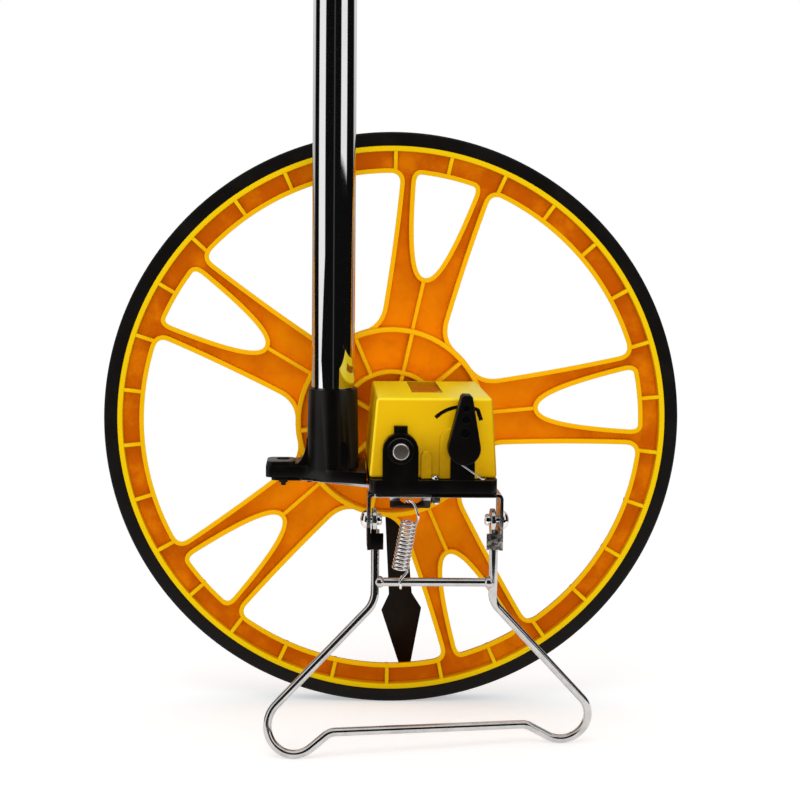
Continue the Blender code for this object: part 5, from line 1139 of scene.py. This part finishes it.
def rib(angle, inner, outer, width, low, high):
    """A radial bar with its front edges rounded."""
    item = block("rib", (inner, low, -width / 2), (outer, high, width / 2))
    rounded_edges(item, FULL_EDGE, 2)
    item.data.transform(Matrix.Rotation(-angle, 4, "Y"))
    return item


def ring_wall(name, outer, wall, low, high, count=200):
    profile = [(outer, low), (outer, high), (outer - wall, high), (outer - wall, low)]
    item = spun(name, profile, count, (0, 0, 0), AXLE_LINE)
    return rounded_edges(item, MOULD_EDGE)


def build_tyre(sizes):
    bore = sizes.tyre_radius - TYRE_THICKNESS
    outer = sizes.tyre_radius
    corners = [((outer, 0), TYRE_EDGE), ((outer, TYRE_WIDTH), TYRE_EDGE), ((bore, TYRE_WIDTH), 0),
               ((bore, 0), 0)]
    profile = [(bore, 0)] + rounded(corners, 5)[:-1]
    item = spun("tyre_ring", profile, 288, (0, 0, 0), AXLE_LINE)
    settle(item, "tyre_ring", "wheel", "rubber", ("tyre",))


def tapered(wall, shape, back):
    """Open a window's wall towards its back, as its mould draws it."""
    wider = offset_outline(shape, WINDOW_TAPER)
    for vert in wall.data.vertices:
        if vert.co.y < back - CHANNEL_DEPTH / 2:
            continue
        gaps = [math.hypot(vert.co.x - x, vert.co.z - z) for x, z in shape]
        nearest = gaps.index(min(gaps))
        if gaps[nearest] < WINDOW_WALL / 100:
            vert.co.x, vert.co.z = wider[nearest]


def build_moulding(sizes):
    front = -RIM_PROUD
    floor_front = front + CHANNEL_DEPTH
    floor_back = floor_front + FLOOR_THICKNESS
    back = floor_back + BACK_LIP
    ring_back = back - BACK_LIP / 2
    rib_front = front + RIB_SETBACK
    rib_back = floor_front + FLOOR_THICKNESS / 2
    seat = seat_radius(sizes)
    step = 2 * math.pi / SPOKE_COUNT
    shapes = [large_window(sizes), arm_window(sizes)]

    loops = [at_depth(circle_outline(seat - RIM_WALL / 2, 240), floor_front)]
    for shape in shapes:
        for k in range(SPOKE_COUNT):
            hole = offset_outline(turned_by(shape, k * step), (WINDOW_TAPER + WINDOW_WALL) / 2)
            loops.append(at_depth(hole, floor_front))
    loops.append(at_depth(circle_outline(HUB_TUBE_RADIUS - FLOOR_OVERLAP, 48), floor_front))
    pieces = [pushed(filled("floor", loops), (0, FLOOR_THICKNESS, 0))]

    for shape in shapes:
        outer = at_depth(offset_outline(shape, WINDOW_WALL), front)
        wall = pushed(bridged("wall", at_depth(shape, front), outer), (0, back - front, 0))
        tapered(wall, shape, back)
        rounded_edges(wall, MOULD_EDGE, 3, math.radians(50))
        pieces += turned_copies(wall, SPOKE_COUNT)

    pieces.append(ring_wall("rim", seat, RIM_WALL, front, TYRE_WIDTH, 288))
    pieces.append(ring_wall("hub_ring", HUB_RING_RADIUS, HUB_RING_WALL, -HUB_PROUD, ring_back))
    pieces.append(ring_wall("inner_ring", INNER_RING_RADIUS, INNER_RING_WALL, -HUB_PROUD,
                            ring_back, 120))
    pieces.append(ring_wall("hub_tube", HUB_TUBE_RADIUS, HUB_TUBE_RADIUS - AXLE_RADIUS - SEAT_GAP,
                            -HUB_TUBE_PROUD, HUB_TUBE_BACK, 72))

    channel_inner = window_rim_radius(sizes) + WINDOW_WALL
    spans = [
        (channel_inner - WINDOW_WALL / 2, seat - RIM_WALL / 2, rib_front, RIM_RIB_COUNT),
        (INNER_RING_RADIUS - INNER_RING_WALL / 2, HUB_RING_RADIUS - HUB_RING_WALL * 2 / 3,
         RIB_SETBACK - HUB_PROUD, HUB_RIB_COUNT),
        (HUB_RING_RADIUS - HUB_RING_WALL / 3, ARM_APEX - WINDOW_WALL / 2, rib_front, SPOKE_COUNT),
        (HUB_TUBE_RADIUS - RIM_WALL / 2, INNER_RING_RADIUS - INNER_RING_WALL * 2 / 3,
         RIB_SETBACK - HUB_PROUD, SPOKE_COUNT),
    ]
    for inner, outer, low, count in spans:
        first = rib(SPOKE_TURN, inner, outer, RIB_WIDTH, low, rib_back)
        pieces += turned_copies(first, count)
    item = joined("wheel_moulding", pieces)
    settle(item, "wheel_moulding", "wheel", "wheel_yellow", ("wheel",), 40)


def build_axle(sizes):
    collar_front = -HUB_TUBE_PROUD - SEAT_GAP - AXLE_COLLAR_WIDTH
    shoulder = HUB_TUBE_BACK + SEAT_GAP
    tail = shoulder + AXLE_TAIL_LENGTH
    profile = [
        (0, -AXLE_FRONT), (AXLE_RADIUS - AXLE_CHAMFER, -AXLE_FRONT),
        (AXLE_RADIUS, -AXLE_FRONT + AXLE_CHAMFER),
        (AXLE_RADIUS, collar_front), (AXLE_COLLAR_RADIUS, collar_front),
        (AXLE_COLLAR_RADIUS, collar_front + AXLE_COLLAR_WIDTH),
        (AXLE_RADIUS, collar_front + AXLE_COLLAR_WIDTH), (AXLE_RADIUS, shoulder),
        (AXLE_TAIL_RADIUS, shoulder), (AXLE_TAIL_RADIUS, tail - AXLE_CHAMFER),
        (AXLE_TAIL_RADIUS - AXLE_CHAMFER, tail), (0, tail)]
    item = spun("axle_bar", profile, 48, (0, 0, 0), AXLE_LINE, closed=False)
    rounded_edges(item, AXLE_EDGE, 2)
    settle(item, "axle_bar", "wheel", "steel", ("axle",))
    refined("axle_nut", "steel", SOFT_EDGE)
    refined("pointer_washer", "steel", HAIR_EDGE)
    for node in ("front_bush", "rear_bush"):
        refined(node, "black_plastic", FINE_EDGE)
    dress("drive_gear", "white_plastic")


def build_pointer(sizes):
    refined("pointer", "black_plastic", SOFT_EDGE, finish="black_steel")


def build_base_plate(sizes):
    item = copied("base_plate", "base_plate_shell")
    rounded_edges(item, FULL_EDGE, 3)
    half = BOSS_TAB_NOTCH / 2 + SEAT_GAP
    front = -PLATE_FRONT + SEAT_GAP + BOSS_TAB_DEPTH / 3
    web = block("tab_web", (-half, front, BOSS_RADIUS - BOSS_TAB_HEIGHT / 2),
                (half, front + BOSS_TAB_DEPTH / 2, BOSS_RADIUS + BOSS_TAB_HEIGHT / 2))
    rounded_edges(web, FINE_EDGE)
    item = joined("base_plate_shell", [item, web])
    settle(item, "base_plate_shell", "frame", "black_plastic", ("base_plate",))


def drafted_block(name, inset, bottom, top):
    """The housing's tapered box, drawn in by inset on every side."""
    item = block(name, (-0.5, -0.5, -0.5), (0.5, 0.5, 0.5))
    for vert in item.data.vertices:
        height = top if vert.co.z > 0 else bottom
        rise = (height + PLATE_TOP) / (HOUSING_TOP + PLATE_TOP)
        x = HOUSING_RIGHT - HOUSING_DRAFT_RIGHT * rise - inset
        if vert.co.x < 0:
            x = -HOUSING_LEFT + HOUSING_DRAFT_LEFT * rise + inset
        y = -HOUSING_BACK - HOUSING_DRAFT_BACK * rise - inset
        if vert.co.y < 0:
            y = -HOUSING_FRONT + inset
        vert.co = (x, y, height)
    return item


def arch(centre_x, centre_z, radius, bottom):
    top = arc_points((centre_x, centre_z), radius, 0, math.pi, 24)
    return top + [(centre_x - radius, bottom), (centre_x + radius, bottom)]


def build_housing(sizes):
    bottom = -PLATE_TOP + SEAT_GAP
    front = -HOUSING_FRONT
    overrun = HOUSING_WALL / 2
    item = rounded_edges(drafted_block("housing_shell", 0, bottom, HOUSING_TOP), HOUSING_EDGE, 6)
    pad_corners = [((PAD_LEFT, bottom + SEAT_GAP / 3), 0), ((PAD_RIGHT, bottom + SEAT_GAP / 3), 0),
                   ((PAD_RIGHT, PAD_TOP), PAD_CORNER), ((PAD_LEFT, PAD_TOP), PAD_CORNER)]
    pad = slab("pad", rounded(pad_corners, 14), front - PAD_PROUD, front + overrun)
    rounded_edges(pad, PAD_PROUD * 0.8, 5)
    post = slab("post", arch(STUB_LEFT + STUB_WIDTH / 2, -STUB_TOP - STUB_WIDTH / 2, STUB_WIDTH / 2,
                             bottom + SEAT_GAP / 2), front - STUB_PROUD, front + overrun)
    rounded_edges(post, STUB_PROUD * 0.85, 5)
    combined(item, pad, "UNION")
    combined(item, post, "UNION")
    combined(item, drafted_block("cavity", HOUSING_WALL, bottom - overrun,
                                 HOUSING_TOP - HOUSING_WALL))
    back_inner = -HOUSING_BACK - HOUSING_DRAFT_BACK - HOUSING_WALL
    window_low = (WINDOW_LEFT, -WINDOW_FRONT, HOUSING_TOP - HOUSING_WALL - overrun)
    window_high = (WINDOW_RIGHT, back_inner, HOUSING_TOP + overrun)
    combined(item, block("window", window_low, window_high))
    deep = overrun + HOUSING_WALL + PAD_PROUD
    guide = arc_points((LEVER_X, LEVER_Z), GUIDE_REACH, GUIDE_START, GUIDE_END, 30)
    end = Vector(guide[-1])
    tail = Vector((math.cos(GUIDE_TAIL_TURN), math.sin(GUIDE_TAIL_TURN)))
    guide += [tuple(end + tail * GUIDE_HALF), tuple(end + tail * GUIDE_TAIL)]
    combined(item, slab("slot", strip_outline(guide, GUIDE_HALF), front - overrun, front + deep))
    inside = front + HOUSING_WALL + SEAT_GAP
    # Painted shade: a thin black sheet behind the slot keeps it reading dark and wide
    shade_sheet = slab("slot_backing", strip_outline(guide, GUIDE_HALF * 2), inside, inside + SEAT_GAP)
    settle(shade_sheet, "slot_backing", "frame", "black_plastic", (), 35, "black_steel")
    hole = circle_outline(BUSH_RADIUS + SLIDE_GAP, 48)
    combined(item, slab("axle_hole", hole, front - overrun, front + deep))
    hole = circle_outline(AXLE_RADIUS + 2 * SLIDE_GAP, 48)
    combined(item, slab("axle_hole", hole, back_inner - overrun, -HOUSING_BACK + overrun))
    hole = circle_outline(LEVER_SHAFT_RADIUS + SEAT_GAP, 40, (LEVER_X, LEVER_Z))
    combined(item, slab("lever_hole", hole, front - deep, front + deep))
    settle(item, "housing_shell", "frame", "housing_yellow", ("housing",), 40)
    refined("counter_window", "clear_plastic", FINE_EDGE)


def build_counter(sizes):
    for node in frame["nodes"]:
        if node.startswith("drum_"):
            dress(node, "drum_white")
        if node.startswith("pinion_") and node != "pinion_shaft":
            dress(node, "white_plastic")
    dress("counter_frame", "zinc")
    dress("counter_shaft", "steel")
    dress("pinion_shaft", "steel")


def build_reset(sizes):
    refined("reset_lever", "black_plastic", SOFT_EDGE, 3, finish="lever")
    dress("reset_comb", "steel")
    spring = copied("reset_spring", "reset_spring_shell")
    edit_all(spring)
    bpy.ops.mesh.normals_make_consistent(inside=False)
    bpy.ops.transform.shrink_fatten(value=RESET_WIRE / 4)
    settle(spring, "reset_spring_shell", None, "chrome", ("reset_spring",), 60)
    leg = Vector((RESET_LEG_SIDE + RESET_LEG_END, 0, RESET_LEG_DROP - PLATE_TOP - LEVER_Z))
    leg.normalize()
    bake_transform(spring)


def build_bracket(sizes):
    refined("stand_bracket", "zinc", SOFT_EDGE)


def build_fasteners(sizes):
    for index in range(1, 4):
        for kind, slot, edge, finish in (
                ("plate_screw_%d", "chrome", HAIR_EDGE, "chrome"),
                ("plate_nut_%d", "zinc", FINE_EDGE, "nut_steel"),
                ("flange_screw_%d", "chrome", HAIR_EDGE, "black_steel"),
                ("flange_nut_%d", "zinc", FINE_EDGE, "black_steel")):
            refined(kind % index, slot, edge, finish=finish)


def build_socket(sizes):
    refined("pole_socket", "black_plastic", SOCKET_EDGE, 3)


def foot_height(sizes, foot_y):
    """Height in the axle's frame of a foot's centreline that stands on the ground."""
    sine = math.sin(LEAN)
    cosine = math.cos(LEAN)
    low = min(-(sizes.tyre_radius - TREAD_INSET) * cosine,
              TREAD_INSET * sine - sizes.tyre_radius * cosine)
    return (low + WIRE_RADIUS - foot_y * sine) / cosine


def tangent_angle(centre, radius, place, side):
    dx = place[0] - centre[0]
    dz = place[1] - centre[1]
    return math.atan2(dz, dx) + side * math.acos(radius / math.hypot(dx, dz))


def stand_side(sizes, sign, foot_y, rise):
    """Half of the stand's centreline, from its pivot down to the foot bar."""
    foot_z = foot_height(sizes, foot_y)
    centre = (FOOT_TURN_HALF, foot_z + FOOT_TURN_RADIUS)
    bend = (LEG_HALF, -LEG_BEND_Z)
    bar = (BAR_HALF, foot_z + rise)
    start = tangent_angle(centre, FOOT_TURN_RADIUS, bend, -1)
    end = tangent_angle(centre, FOOT_TURN_RADIUS, bar, 1)
    end -= 2 * math.pi * math.ceil((end - start) / (2 * math.pi))
    lowest = -math.pi / 2
    foot = arc_points(centre, FOOT_TURN_RADIUS, start, lowest, 22)
    foot += arc_points(centre, FOOT_TURN_RADIUS, lowest, end, 8)[1:]
    leg = rounded([((LEG_HALF, -PIVOT_Z - LEG_EYE_DROP / 2), 0), ((LEG_HALF, -CROSS_Z), 0),
                   (bend, LEG_BEND_RADIUS), (foot[0], 0)], 12, closed=False)
    bar_path = rounded([(foot[-1], 0), (bar, BAR_BEND_RADIUS), ((0, bar[1]), 0)], 10, closed=False)
    points = []
    for half, z in leg[:-1] + foot + bar_path[1:-1]:
        x = STAND_X + sign * half
        if z > -CROSS_Z:
            share = (-PIVOT_Z - z) / (CROSS_Z - PIVOT_Z)
            y = -PIVOT_Y + (PIVOT_Y - CROSS_Y) * share
        else:
            share = (-CROSS_Z - z) / (-CROSS_Z - foot_z)
            y = -CROSS_Y + (foot_y + CROSS_Y) * share
            x -= FOOT_SIDE * share
        points.append((x, y, z))
    return points


def build_kickstand(sizes):
    left = stand_side(sizes, -1, -FOOT_LEFT_Y, BAR_RISE_LEFT)
    right = stand_side(sizes, 1, -FOOT_RIGHT_Y, BAR_RISE_RIGHT)
    pieces = [wire("stand_wire", left + list(reversed(right)), WIRE_RADIUS, 6)]
    cross = [(STAND_X - LEG_HALF, -CROSS_Y, -CROSS_Z), (STAND_X + LEG_HALF, -CROSS_Y, -CROSS_Z)]
    pieces.append(wire("cross_bar", cross, WIRE_RADIUS, 6))
    for sign in (-1, 1):
        x = STAND_X + sign * LEG_HALF
        deselect()
        bpy.ops.mesh.primitive_uv_sphere_add(segments=32, ring_count=16, radius=CROSS_WELD_RADIUS,
                                             location=(x - sign * WIRE_RADIUS, -CROSS_Y, -CROSS_Z))
        bpy.ops.object.transform_apply(location=True, rotation=True, scale=True)
        pieces.append(bpy.context.active_object)
        eye = arc_points((-PIVOT_Y, -PIVOT_Z), LEG_EYE_RADIUS, LEG_EYE_START,
                         LEG_EYE_END, 40)
        low = -PIVOT_Z - LEG_EYE_DROP
        drop = (PIVOT_Y - CROSS_Y) * LEG_EYE_DROP / (CROSS_Z - PIVOT_Z)
        neck = WIRE_RADIUS * 0.9
        eye += [(-PIVOT_Y + drop - neck, low), (-PIVOT_Y + drop + neck, low)]
        middle = x - LEG_EYE_SHIFT
        start = middle - LEG_EYE_THICKNESS / 2
        hole = circle_outline(RIVET_RADIUS + SEAT_GAP, 32, (-PIVOT_Y, -PIVOT_Z))
        plate = filled("eye", [[(start, y, z) for y, z in eye], [(start, y, z) for y, z in hole]])
        plate = pushed(plate, (LEG_EYE_THICKNESS, 0, 0))
        pieces.append(rounded_edges(plate, EYE_EDGE))
    item = joined("stand_wire", pieces)
    settle(item, "stand_wire", "stand", "chrome", ("kickstand",), 45, "stand_wire")


def build_rivets(sizes):
    half_eye = LEG_EYE_THICKNESS / 2
    left_inner = STAND_X - LEG_HALF - LEG_EYE_SHIFT + half_eye + SEAT_GAP
    right_inner = STAND_X + LEG_HALF - LEG_EYE_SHIFT - half_eye - SEAT_GAP
    for node, outer, inner, sign in (
            ("stand_rivet_left", -BRACKET_LEFT - SEAT_GAP, left_inner, -1),
            ("stand_rivet_right", BRACKET_RIGHT + SEAT_GAP, right_inner, 1)):
        profile = [(0, outer + RIVET_HEAD_HEIGHT * sign)]
        for k in range(1, 13):
            turn = math.pi / 2 * k / 12
            rise = RIVET_HEAD_HEIGHT * sign * math.cos(turn)
            profile.append((RIVET_HEAD_RADIUS * math.sin(turn), outer + rise))
        tail = RIVET_TAIL_LENGTH * sign
        profile += [(RIVET_RADIUS, outer), (RIVET_RADIUS, inner), (RIVET_TAIL_RADIUS, inner),
                    (RIVET_TAIL_RADIUS, inner - tail * 0.6),
                    (RIVET_TAIL_RADIUS * 0.8, inner - tail),
                    (RIVET_TAIL_RADIUS * 0.4, inner - tail * 0.85), (0, inner - tail * 0.85)]
        item = spun(node + "_shell", profile, 40, (0, -PIVOT_Y, -PIVOT_Z), ACROSS, closed=False)
        settle(item, node + "_shell", "frame", "chrome", (node,), 40)


def smooth_path(points, steps):
    """A curve through all the points, with steps pieces between each pair."""
    result = []
    last = len(points) - 1
    for i in range(last):
        p0, p1 = Vector(points[max(i - 1, 0)]), Vector(points[i])
        p2, p3 = Vector(points[i + 1]), Vector(points[min(i + 2, last)])
        for k in range(steps):
            t = k / steps
            place = 0.5 * ((2 * p1) + (p2 - p0) * t + (2 * p0 - 5 * p1 + 4 * p2 - p3) * t * t
                           + (3 * p1 - p0 - 3 * p2 + p3) * t * t * t)
            result.append(tuple(place))
    result.append(tuple(points[last]))
    return result


def build_stand_spring(sizes):
    axis = (SPRING_BOTTOM - SPRING_TOP).normalized()
    across = axis.cross(Vector((0, 1, 0))).normalized()
    other = axis.cross(across)
    length = (SPRING_BOTTOM - SPRING_TOP).length
    per_turn = SPRING_POINTS_PER_TURN
    count = SPRING_TURNS * per_turn
    coil = []
    for i in range(count + 1):
        turn = 2 * math.pi * i / per_turn
        place = SPRING_TOP + axis * (length * i / count)
        place += (across * math.cos(turn) + other * math.sin(turn)) * SPRING_COIL
        coil.append(tuple(place))
    step = 2 * SPRING_WIRE
    strip_top = -HOOK_SLOT_BOTTOM + SPRING_WIRE + SLIDE_GAP
    first = Vector(coil[0])
    hook_x = SPRING_TOP.x
    front_y = -WEB_FRONT - SPRING_WIRE - SEAT_GAP
    top_hook = [
        (hook_x - step, -WEB_FRONT + BRACKET_SHEET + step, strip_top - 2 * step),
        (hook_x - step, -WEB_FRONT + BRACKET_SHEET + step / 2, strip_top),
        (hook_x, front_y + step / 2, strip_top + step / 3),
        (hook_x + 2 * step, front_y - step, strip_top - step),
        (first.x + step / 2, front_y - 2 * step, first.z + 3 * step),
    ]
    bottom_hook = []
    for k in range(9):
        turn = math.radians(SPRING_HOOK_START + SPRING_HOOK_STEP * k)
        bottom_hook.append((SPRING_BOTTOM.x + step * 0.1 * k,
                            -CROSS_Y + SPRING_HOOK_RADIUS * math.cos(turn),
                            -CROSS_Z + SPRING_HOOK_RADIUS * math.sin(turn)))
    lead_in = smooth_path(top_hook + [coil[0], coil[per_turn // 4]], 8)[:-8]
    lead_out = smooth_path([coil[-per_turn // 4], coil[-1]] + bottom_hook, 6)[6:]
    item = wire("stand_coil", lead_in[:-1] + coil + lead_out[1:], SPRING_WIRE, 3)
    settle(item, "stand_coil", None, "chrome", ("stand_spring",), 60)
    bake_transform(item)


def build_pole(sizes):
    centre = (-POLE_X, -POLE_Y, 0)
    for node, radius in (("lower_tube", POLE_RADIUS), ("middle_tube", MIDDLE_RADIUS),
                         ("upper_tube", UPPER_RADIUS)):
        low, high = span_along(node)
        bore = radius - TUBE_WALL
        profile = [(radius, low), (radius, high), (bore, high), (bore, low)]
        item = spun(node + "_shell", profile, 128, centre, UPRIGHT)
        rounded_edges(item, SOFT_EDGE, 2)
        settle(item, node + "_shell", body_of(node), "chrome", (node,))
    for node in ("lower_collar", "upper_collar"):
        refined(node, "black_plastic", SOFT_EDGE)
    refined("grip", "grip_rubber", FULL_EDGE)


def span_along(node):
    """Lowest and highest place of a packed node along the pole, in the axle's frame."""
    back = STANCE.inverted()
    places = [(back @ vert.co).z for vert in frame["nodes"][node].data.vertices]
    return min(places), max(places)


# Stage

def paint_floor(graph, colours):
    path = graph.add("ShaderNodeLightPath", {})
    seen = path.value("Is Camera Ray") + path.value("Is Glossy Ray")
    seen = (seen + path.value("Is Transmission Ray")).clamped()
    cloud = graph.noise(graph.place(), 3.0)
    colour = graph.mix(cloud * 0.3, tuple(colours.floor), tinted(colours.floor, 0.97))
    diffuse = graph.add("ShaderNodeBsdfDiffuse", {}, Color=colour)
    glow = graph.add("ShaderNodeEmission", {}, Color=(1, 1, 1), Strength=seen * FLOOR_GLOW)
    graph.finish(graph.add("ShaderNodeAddShader", {}, diffuse.value(), glow.value()).value())


def band(value, low, high, soft):
    """1 between low and high, fading over soft on either side."""
    return ((value - low) / soft).clamped() * ((high - value) / soft).clamped()


def paint_world(world):
    """White behind the object, even light on it, and a dark room with soft boxes in its mirrors."""
    graph = Graph(world)
    path = graph.add("ShaderNodeLightPath", {})
    x, y, z = graph.axes(graph.add("ShaderNodeTexCoord", {}).value("Generated"))
    turn = x.math("ARCTAN2", y * -1.0) * (180 / math.pi)
    rise = z.math("ARCSINE") * (180 / math.pi)
    left_end = LEFT_BOX_END - ((LEFT_BOX_LOW - rise) * LEFT_BOX_SLOPE).math("MAXIMUM", 0.0)
    left = ((turn - LEFT_BOX_START) / BOX_SOFT).clamped()
    left = left * ((left_end - turn) / BOX_SOFT).clamped()
    right = band(turn, *RIGHT_BOX, BOX_SOFT) * ((rise - RIGHT_BOX_LOW) / RIGHT_BOX_FADE).clamped()
    slot = band(turn, *FRONT_SLOT, FRONT_SLOT_SOFT) * FRONT_SLOT_LIGHT
    size = turn.math("ABSOLUTE")
    behind = ((size - BACK_WALL_START) / BACK_WALL_FADE).clamped()
    behind = behind * (0.32 + 0.5 * (rise / 25.0).clamped())
    above = ((rise - CEILING_START) / CEILING_FADE).clamped() * CEILING_LIGHT
    below = ((GROUND_START - rise) / GROUND_FADE).clamped() * GROUND_LIGHT
    mirror = ROOM_DARK + left * LEFT_BOX_LIGHT + right * RIGHT_BOX_LIGHT + slot + behind
    mirror = mirror.math("MAXIMUM", above).math("MAXIMUM", below)
    glossy = path.value("Is Glossy Ray")
    plain = (path.value("Is Camera Ray") + path.value("Is Transmission Ray")).clamped()
    strength = plain + (1.0 - plain) * (glossy * mirror + (1.0 - glossy) * ROOM_LIGHT)
    shader = graph.add("ShaderNodeBackground", {}, Color=(1, 1, 1), Strength=strength)
    graph.add("ShaderNodeOutputWorld", {}, shader.value())


def add_lamp(name, place, aim, size, power):
    deselect()
    bpy.ops.object.light_add(type="AREA", location=place)
    lamp = bpy.context.active_object
    lamp.name = name
    lamp.data.shape = "RECTANGLE"
    lamp.data.size = size[0]
    lamp.data.size_y = size[1]
    lamp.data.energy = power
    lamp.rotation_euler = (Vector(aim) - Vector(place)).to_track_quat("-Z", "Y").to_euler()
    lamp.visible_glossy = False


def place_camera():
    """The photograph's camera, found in the axle's frame."""
    yaw = CAMERA_YAW
    pitch = CAMERA_PITCH
    roll = CAMERA_ROLL
    forward = Vector((math.sin(yaw) * math.cos(pitch), math.cos(yaw) * math.cos(pitch),
                      -math.sin(pitch)))
    right = Vector((math.cos(yaw), -math.sin(yaw), 0))
    up = right.cross(forward)
    level = right * math.cos(roll) + up * math.sin(roll)
    crown = up * math.cos(roll) - right * math.sin(roll)
    turn = Matrix((level, crown, -forward)).transposed().to_4x4()
    deselect()
    bpy.ops.object.camera_add()
    camera = bpy.context.active_object
    camera.name = "photo_camera"
    camera.matrix_world = STANCE @ Matrix.Translation(CAMERA_PLACE) @ turn
    camera.data.lens = CAMERA_LENS
    camera.data.sensor_width = CAMERA_SENSOR
    camera.data.shift_x, camera.data.shift_y = CAMERA_SHIFT
    camera.data.clip_start, camera.data.clip_end = CAMERA_CLIP
    bpy.context.scene.camera = camera


def build_stage(sizes):
    scene = bpy.context.scene
    scene.view_settings.view_transform = "Standard"
    world = bpy.data.worlds.new("studio")
    scene.world = world
    paint_world(world)
    deselect()
    bpy.ops.mesh.primitive_plane_add(size=1, location=(0, 0, 0))
    floor = bpy.context.active_object
    floor.name = "floor"
    floor.data.transform(Matrix.Diagonal((*FLOOR_SIZE, 1, 1)))
    floor.data.transform(Matrix.Translation(FLOOR_MIDDLE))
    bpy.ops.object.mode_set(mode="EDIT")
    bpy.ops.mesh.select_all(action="SELECT")
    bpy.ops.mesh.subdivide(number_cuts=FLOOR_CUTS)
    object_mode()
    floor.data.materials.append(material("floor", paint_floor))
    for lamp in LAMPS:
        add_lamp(*lamp)
    place_camera()


# Sizes and colours

class WheelSizes(PropertyGroup):
    tyre_radius: FloatProperty(name="Tyre radius", description="Half of the tyre's width across",
                               default=0.15915, unit="LENGTH", subtype="DISTANCE", precision=5)


COLOURS = [
    ("rubber", "Rubber", "Colour of the tyre", (0.0036, 0.0028, 0.0021)),
    ("housing", "Housing", "Colour of the counter's housing", (0.69, 0.400, 0.001)),
    ("black_plastic", "Black plastic", "Colour of the black mouldings", (0.0017, 0.0013, 0.0011)),
    ("chrome", "Chrome", "Colour of the plated pieces", (0.88, 0.87, 0.87)),
    ("floor", "Floor", "Colour of the floor", (0.86, 0.86, 0.86)),
]


class WheelColours(PropertyGroup):
    __annotations__ = {
        name: FloatVectorProperty(name=label, description=about, size=3, min=0, max=1,
                                  default=colour, subtype="COLOR")
        for name, label, about, colour in COLOURS}


def operator(label, about, build):
    """An operator class for one piece or group of like pieces."""
    def execute(self, context):
        build(context.scene.wheel_sizes)
        return {"FINISHED"}

    name = build.__name__.replace("build_", "")
    return type("MEASURINGWHEEL_OT_" + name, (Operator,), {
        "__doc__": about, "bl_idname": "measuring_wheel." + name, "bl_label": label,
        "bl_options": {"REGISTER", "UNDO"}, "execute": execute})


OPERATORS = [
    operator("Stage", "Floor, world, lamps and camera", build_stage),
    operator("Tyre", "The rubber tyre", build_tyre),
    operator("Wheel moulding", "The spoked yellow wheel", build_moulding),
    operator("Axle", "The axle, its bushes, nut and washer", build_axle),
    operator("Pointer", "The pointer behind the wheel", build_pointer),
    operator("Base plate", "The counter's base plate", build_base_plate),
    operator("Housing", "The counter's housing and window", build_housing),
    operator("Counter", "The counter's drums and gears", build_counter),
    operator("Reset", "The reset lever, its comb and spring", build_reset),
    operator("Bracket", "The stand's bracket", build_bracket),
    operator("Fasteners", "Screws and nuts", build_fasteners),
    operator("Kickstand", "The wire stand", build_kickstand),
    operator("Rivets", "The stand's pivots", build_rivets),
    operator("Stand spring", "The stand's spring", build_stand_spring),
    operator("Socket", "The pole's socket", build_socket),
    operator("Pole", "The telescopic pole and grip", build_pole),
]


class MEASURINGWHEEL_PT_pieces(Panel):
    bl_label = "Measuring wheel"
    bl_space_type = "VIEW_3D"
    bl_region_type = "UI"
    bl_category = "Measuring wheel"

    def draw(self, context):
        for kind in OPERATORS:
            self.layout.operator(kind.bl_idname)
        self.layout.prop(context.scene.wheel_sizes, "tyre_radius")
        for name, *_ in COLOURS:
            self.layout.prop(context.scene.wheel_colours, name)


CLASSES = [WheelSizes, WheelColours, *OPERATORS, MEASURINGWHEEL_PT_pieces]


def register():
    for kind in CLASSES:
        bpy.utils.register_class(kind)
    bpy.types.Scene.wheel_sizes = PointerProperty(type=WheelSizes)
    bpy.types.Scene.wheel_colours = PointerProperty(type=WheelColours)


def unregister():
    del bpy.types.Scene.wheel_colours
    del bpy.types.Scene.wheel_sizes
    for kind in reversed(CLASSES):
        bpy.utils.unregister_class(kind)


def main():
    register()
    for kind in OPERATORS:
        group, name = kind.bl_idname.split(".")
        getattr(getattr(bpy.ops, group), name)()
    object_mode()


if __name__ == "__main__":
    main()
